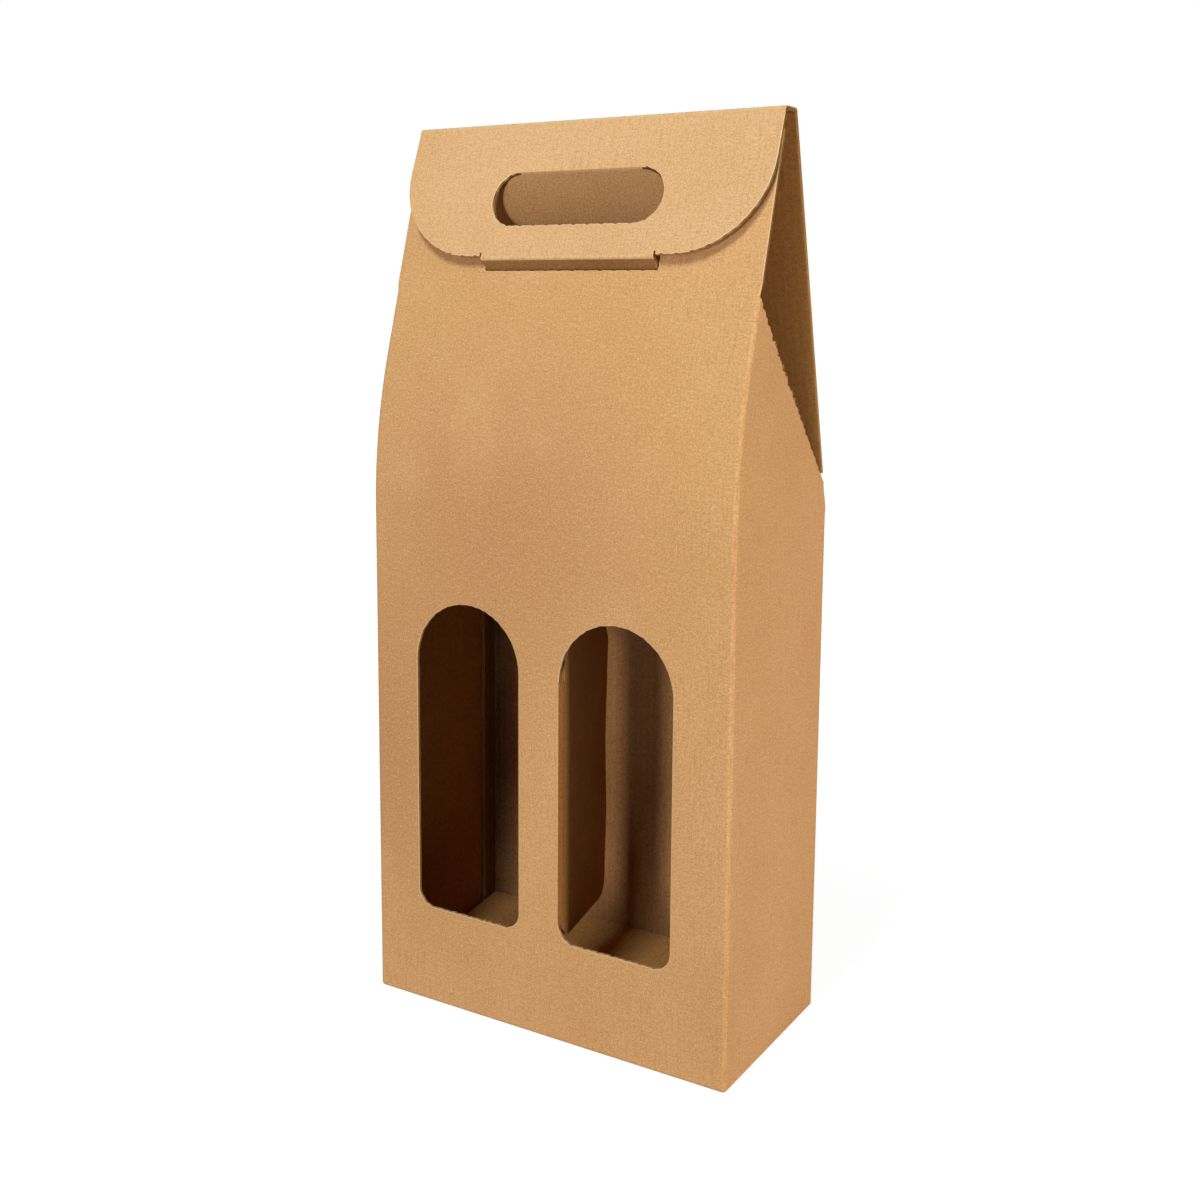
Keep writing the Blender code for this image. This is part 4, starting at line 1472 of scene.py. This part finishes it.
@dataclass
class FoldedTop:
    """Back slope, ridge, closing flap, lock tab and handle tongue, with their creases."""

    shape: CartonShape
    ridge_width: float = 8.1
    flap_corner: float = 40.0
    edge_beside_tab: float = 7.5
    tab_length: float = 13.0
    tab_chamfer: float = 4.5
    relief_width: float = 0.9
    relief_depth: float = 1.5
    slope_chamfer: Pair = (1.2, 3.0)
    handle_width: float = 84.4
    handle_height: float = 24.2
    tongue_clearance: float = 0.15
    flap_curl: Pair = (2.4, 0.5)
    curl_from: float = 50.0
    fold_zone: float = 1.0
    boards: dict[str, HingedBoard] = field(default_factory=dict)

    def __post_init__(self) -> None:
        """Works out where every board hangs, each from the one before."""
        shape = self.shape
        lean = math.degrees(shape.lean) + shape.flap_spread
        flap = HingedBoard(-shape.ridge_front, shape.ridge_under, 180.0 - lean, self.flap_curl,
                           self.curl_from, length=shape.flap_length)
        self.boards = {
            "slope": HingedBoard(shape.half_depth - CALIPER, shape.shoulder,
                                 math.degrees(shape.back_lean)),
            "ridge": HingedBoard(shape.ridge_rear, shape.ridge_under, 90.0),
            "flap": flap,
            "tab": flap.hang(shape.flap_length, 180.0 + shape.tab_lean),
            "tongue": flap.hang(shape.handle_drop, 180.0 - lean + shape.tongue_fold),
        }

    @property
    def tab_half(self) -> float:
        """Half the width of the lock tab."""
        return self.shape.half_width - self.flap_corner - self.edge_beside_tab

    @property
    def tongue_half(self) -> float:
        """Half the width of the handle tongue's crease, which is the hole's straight part."""
        return self.handle_width / 2 - self.handle_height / 2

    @property
    def slope_half(self) -> float:
        """Half the width of the back slope's tail, which lies between the side panels."""
        return self.shape.half_width - CALIPER - self.shape.gap

    def blank(self, rise: float) -> Point:
        """Where something lies in the blank, a distance above the back slope's upper crease."""
        return self.shape.blank_back, self.shape.shoulder + self.shape.slope_length + rise

    def cut_between(self, high: float = math.inf) -> Mask:
        """A mask that leaves out the crease at a board's foot and one at the given v."""
        zone = self.fold_zone
        return lambda u, v: ((v > zone) & (v < high - zone)) * 1.0

    def slope(self) -> None:
        """The back slope, its tail cut narrower to pass between the side panels."""
        shape = self.shape
        half, narrow, length = shape.half_width, self.slope_half, shape.slope_length
        relief = shape.slope_relief_rise / math.cos(shape.back_lean)
        in_by, up_by = self.slope_chamfer
        outline = Outline.mirrored([(narrow - in_by, shape.crease), (narrow, shape.crease + up_by),
                                    (narrow, relief), (half, relief), (half, length - shape.crease)])
        # Its outer face takes the paler top paper, painted light that fades towards its foot; its inner
        # face takes a much lighter paper, painted light, darker round its middle, painted shade.
        BoardPiece("back_slope_board", [outline], self.boards["slope"].fold,
                   self.cut_between(length), blank_at=(shape.blank_back, shape.shoulder),
                   outside=Finish.SLOPE, inside=Finish.LIGHT
                   ).settle("back_top", "back_top_panel", "kraft_outside")

    def ridge(self) -> None:
        """The narrow strip between the two top creases."""
        half, crease, width = self.shape.half_width, self.shape.crease, self.ridge_width
        # Its outer face takes the paler top paper: painted light.
        BoardPiece("ridge_board", [Outline.box(-half, crease, half, width - crease)],
                   self.boards["ridge"].fold, self.cut_between(width),
                   blank_at=self.blank(0.0), outside=Finish.TOP
                   ).settle("ridge", "ridge_strip", "kraft_outside")

    def flap_outline(self) -> Loop:
        """The closing flap: large lower corners and a relief notch at each end of the tab."""
        shape, radius, near = self.shape, self.flap_corner, self.tab_half
        length = shape.flap_length - shape.crease
        far = near + self.relief_width
        notch = length - self.relief_depth
        right = [(shape.half_width, shape.crease)]
        right += Outline.arc((shape.half_width - radius, length - radius), radius, 0, 90)
        return Outline.mirrored(right + [(far, length), (far, notch), (near, notch), (near, length)])

    def flap(self) -> None:
        """The closing flap with the handle hole, its lower corners curled out a little."""
        shape = self.shape
        hole = Outline.obround(self.handle_width, self.handle_height,
                               shape.handle_drop + self.handle_height / 2)

        def is_cut(u: Values, v: Values) -> Values:
            """The creases to the ridge, to the tongue and to the tab aren't cut."""
            tongue = (np.abs(u) < self.tongue_half) & (np.abs(v - shape.handle_drop) < 1.0)
            tab_fold = (np.abs(u) < self.tab_half - 0.3) & (v > shape.flap_length - 1.0)
            return ((v > self.fold_zone) & ~tongue & ~tab_fold).astype(float)

        columns = steps(self.curl_from, 86.0, 9) + steps(-86.0, -self.curl_from, 9)
        # Its outer face takes the paler top paper: painted light.
        BoardPiece("flap_board", [self.flap_outline(), hole], self.boards["flap"].fold,
                   is_cut, steps(4.0, 56.0, 9), columns, self.blank(9.0),
                   bite=BOARD.flap_bite, outside=Finish.TOP
                   ).settle("flap", "closing_flap", "kraft_outside")

    def tab(self) -> None:
        """The lock tab, in a darker paper: painted shade, as it faces down."""
        half, crease, length = self.tab_half, self.shape.crease, self.tab_length
        low, tip = length - self.tab_chamfer, half - self.tab_chamfer
        outline = [(-half, crease), (half, crease), (half, low), (tip, length), (-tip, length),
                   (-half, low)]
        BoardPiece("tab_board", [outline], self.boards["tab"].fold, self.cut_between(),
                   blank_at=self.blank(70.0), outside=Finish.SHADED_TAB
                   ).settle("tab", "lock_tab", "kraft_outside")

    def tongue(self) -> None:
        """The handle hole's cut-out, pushed in, its outer face in a darker paper: painted shade, as it
        faces down in the hole.
        """
        clear = 2 * self.tongue_clearance
        outline = Outline.obround(self.handle_width - clear, self.handle_height - clear,
                                  self.handle_height / 2)
        BoardPiece("tongue_board", [outline], self.boards["tongue"].fold,
                   lambda u, v: (v > 1.5) * 1.0, blank_at=self.blank(31.0),
                   outside=Finish.SHADED_TONGUE).settle("tongue", "handle_tongue", "kraft_inside")

    def creases(self) -> None:
        """The bent strips over the open creases, each between two bodies."""
        shape, boards, half = self.shape, self.boards, self.shape.half_width
        slope, flap = boards["slope"].angle, boards["flap"].angle
        first = (shape.blank_back, shape.shoulder - 2.0)
        plain, under_tongue = (0.2, 0.2), (0.0, self.tongue_clearance)
        # The ridge and tab creases take the paler top paper, painted light; the tongue's crease takes
        # the tongue's darker paper, painted shade.
        # Each strip's name, the board it leads to, its bodies, the angle it starts from, half its
        # width, its place in the blank, how far it laps under the boards, and its paper.
        for name, key, bodies, start, reach, blank_at, ends, finish in (
            ("shoulder_crease", "slope", ("carton", "back_top"), 0.0, self.slope_half,
             first, plain, Finish.OUTSIDE),
            ("rear_ridge_crease", "ridge", ("back_top", "ridge"), slope, half,
             self.blank(-1.0), plain, Finish.TOP),
            ("front_ridge_crease", "flap", ("ridge", "flap"), boards["ridge"].angle, half,
             self.blank(8.0), plain, Finish.TOP),
            ("tab_crease", "tab", ("flap", "tab"), flap, self.tab_half,
             self.blank(69.0), plain, Finish.TOP),
            ("tongue_crease", "tongue", ("flap", "tongue"), flap, self.tongue_half,
             self.blank(30.0), under_tongue, Finish.SHADED_TONGUE),
        ):
            hinge = boards[key]
            roll = Roll((hinge.y, hinge.z), start, hinge.angle, ends=ends)
            roll.build(name, bodies, (-reach, reach), blank_at, "kraft_outside", finish)

    def build(self) -> None:
        """Builds the boards of the top and the creases between them."""
        self.slope()
        self.ridge()
        self.flap()
        self.tab()
        self.tongue()
        self.creases()


@dataclass
class Divider:
    """The right window's cut-out, folded in between the two bottles, its free edge wavy."""

    shape: CartonShape
    shell: Shell
    clearance: float = 0.4
    buckle: float = 0.9
    buckle_at: float = 171.0
    buckle_reach: float = 9.0
    ripple: float = 0.3
    ripple_length: float = 11.0

    def fold(self, u: Values, v: Values, d: Values) -> Folded:
        """Swings the cut-out in round the window's left edge, its free edge a little wavy."""
        turn = math.radians(self.shape.divider_fold)
        swell = self.buckle * np.exp(-((v - self.buckle_at) / self.buckle_reach) ** 2)
        swell = swell + self.ripple * np.sin(v / self.ripple_length)
        inward = CALIPER - d + swell * np.clip(u / self.shell.window_width, 0.0, 1.0) ** 2
        x = self.shell.window_lefts[1] + u * math.cos(turn) + inward * math.sin(turn)
        y = -self.shape.half_depth + CALIPER + u * math.sin(turn) - inward * math.cos(turn)
        return np.column_stack((x, y, v)), np.zeros_like(u)

    def build(self) -> None:
        """Builds the divider and the upright crease that it hangs on."""
        shell, shape = self.shell, self.shape
        left, width = shell.window_lefts[1], shell.window_width
        sill, top = shell.window_sill, shell.window_top
        outline = Outline.arched(0.0, width, sill, top, shell.window_corner, self.clearance)
        # Its outer face takes the darker inside paper: painted shade.
        BoardPiece("divider_board", [outline], self.fold, lambda u, v: (u > 2.0) * 1.0,
                   steps(sill + 4.0, top - 2.0, 34), steps(4.0, width - 2.0, 12),
                   (left, 0.0), outside=Finish.INSIDE
                   ).settle("divider", "bottle_divider", "kraft_inside")
        # Its crease strip takes the crushed score's dark paper, darkened further as painted shade.
        roll = Roll((left, -shape.half_depth + CALIPER), -90.0, -90.0 + shape.divider_fold,
                    True, (0.0, self.clearance), 0.85)
        roll.build("divider_crease", ("carton", "divider"),
                   (sill + shell.window_corner, top - width / 2), (10.0, 400.0), "kraft_inside",
                   Finish.SHADED_SCORE)


# ---------------------------------------------------------------- studio


@dataclass(frozen=True)
class SoftLight:
    """A soft lamp that looks at the carton's middle; its size is its width and height."""

    name: str
    place: Place
    size: Pair
    power: float
    colour: str = "#FFFFFF"


@dataclass
class Studio:
    """Camera, pale floor, white surroundings and soft lamps."""

    focal: float = 43.164
    shift_y: float = -0.08333
    azimuth: float = 31.19
    elevation: float = 7.926
    roll: float = 0.416
    place: Place = (0.327974, -0.539534, 0.320049)
    aim: Place = (0.0, 0.0, 0.2)
    ambient: float = 0.02
    lights: tuple[SoftLight, ...] = (
        SoftLight("front_strip_softbox", (-0.02, -1.50, 0.32), (0.16, 0.45), 7.6),
        SoftLight("top_softbox", (0.04, -0.70, 1.12), (0.20, 0.34), 9.5, "#DFF3FF"),
        SoftLight("right_softbox", (1.39, -0.15, 0.38), (0.24, 0.6), 11.4),
        SoftLight("rear_left_softbox", (-0.90, 1.20, 0.50), (0.40, 0.5), 13.0),
    )

    def camera(self) -> None:
        """The camera at the photograph's place and turn."""
        az, el = math.radians(self.azimuth), math.radians(self.elevation)
        tilt = math.radians(self.roll)
        back = Vector((math.sin(az) * math.cos(el), -math.cos(az) * math.cos(el), math.sin(el)))
        right = Vector((math.cos(az), math.sin(az), 0.0))
        up = back.cross(right)
        across = right * math.cos(tilt) + up * math.sin(tilt)
        upright = up * math.cos(tilt) - right * math.sin(tilt)
        lens = bpy.data.cameras.new("photo_camera")
        lens.sensor_fit = "HORIZONTAL"
        lens.sensor_width = 36.0
        lens.lens = self.focal
        lens.shift_y = self.shift_y
        lens.clip_start, lens.clip_end = 0.01, 50.0
        camera = bpy.data.objects.new("photo_camera", lens)
        turn = Matrix((across, upright, back)).transposed()
        camera.matrix_world = Matrix.Translation(self.place) @ turn.to_4x4()
        bpy.context.scene.collection.objects.link(camera)
        bpy.context.scene.camera = camera

    def lamps(self) -> None:
        """The soft lamps."""
        for light in self.lights:
            lamp = bpy.data.lights.new(light.name, "AREA")
            lamp.shape = "RECTANGLE"
            lamp.size, lamp.size_y = light.size
            lamp.energy = light.power
            lamp.color = linear(light.colour)[:3]
            holder = bpy.data.objects.new(light.name, lamp)
            holder.location = light.place
            sight = Vector(self.aim) - Vector(light.place)
            holder.rotation_euler = sight.to_track_quat("-Z", "Y").to_euler()
            bpy.context.scene.collection.objects.link(holder)

    @staticmethod
    def seen(tree: Tree) -> Socket:
        """1 for what the camera sees, directly, in gloss or through glass."""
        path = add_node(tree, "LightPath")
        first = add_node(tree, "Math", {"operation": "MAXIMUM"},
                         {0: path.outputs["Is Camera Ray"], 1: path.outputs["Is Glossy Ray"]})
        return add_node(tree, "Math", {"operation": "MAXIMUM"},
                        {0: first.outputs[0], 1: path.outputs["Is Transmission Ray"]}).outputs[0]

    def surroundings(self) -> None:
        """White to the eye, a plain soft light to the object."""
        world = bpy.data.worlds.new("white_studio")
        world.use_nodes = True
        tree = world.node_tree
        tree.nodes.clear()
        white = add_node(tree, "Background", {}, {"Color": (1, 1, 1, 1), "Strength": 1.0})
        soft = add_node(tree, "Background", {}, {"Color": (1, 1, 1, 1), "Strength": self.ambient})
        mixed = add_node(tree, "MixShader", {}, {0: self.seen(tree), 1: soft.outputs[0],
                                                 2: white.outputs[0]})
        add_node(tree, "OutputWorld", {}, {"Surface": mixed.outputs[0]})
        bpy.context.scene.world = world

    def floor(self) -> None:
        """A wide pale floor that keeps a faint shadow of the carton."""
        Bench.clear()
        bpy.ops.mesh.primitive_grid_add(x_subdivisions=8, y_subdivisions=8, size=30.0,
                                        location=(0, 0, 0))
        floor = bpy.context.object
        floor.name = "studio_floor"
        made = bpy.data.materials.new("matt_white_studio_floor")
        made.use_nodes = True
        tree = made.node_tree
        tree.nodes.clear()
        seen = self.seen(tree)
        tone = add_node(tree, "Mix", {"data_type": "RGBA"},
                        {0: seen, 6: (0.7, 0.7, 0.7, 1), 7: (0.9, 0.9, 0.9, 1)}).outputs[2]
        matt = add_node(tree, "BsdfPrincipled", {}, {"Base Color": tone, "Roughness": 0.9,
                                                     "Specular IOR Level": 0.0})
        glow = add_node(tree, "Emission", {}, {"Color": (1, 1, 1, 1), "Strength": 1.1})
        place = add_node(tree, "TexCoord").outputs["Object"]
        far = add_node(tree, "VectorMath", {"operation": "LENGTH"}, {0: place}).outputs["Value"]
        fade = add_node(tree, "MapRange", {}, {"Value": far, "From Min": 0.15, "From Max": 0.6,
                                               "To Min": 0.84, "To Max": 1.0}).outputs[0]
        share = add_node(tree, "Math", {"operation": "MULTIPLY"}, {0: seen, 1: fade})
        mixed = add_node(tree, "MixShader", {}, {0: share.outputs[0], 1: matt.outputs[0],
                                                 2: glow.outputs[0]})
        add_node(tree, "OutputMaterial", {}, {"Surface": mixed.outputs[0]})
        floor.data.materials.append(made)

    def build(self) -> None:
        """Sets up the studio."""
        self.camera()
        self.lamps()
        self.surroundings()
        self.floor()
        bpy.context.scene.view_settings.view_transform = "Standard"


def main() -> None:
    """Builds the studio, then the carton from its walls to its top."""
    logging.basicConfig(level=logging.INFO, format="%(name)s: %(message)s")
    Studio().build()
    shape = CartonShape()
    shell = Shell(shape)
    shell.build()
    Bottom(shape).build()
    FoldedTop(shape).build()
    Divider(shape, shell).build()


if __name__ == "__main__":
    main()
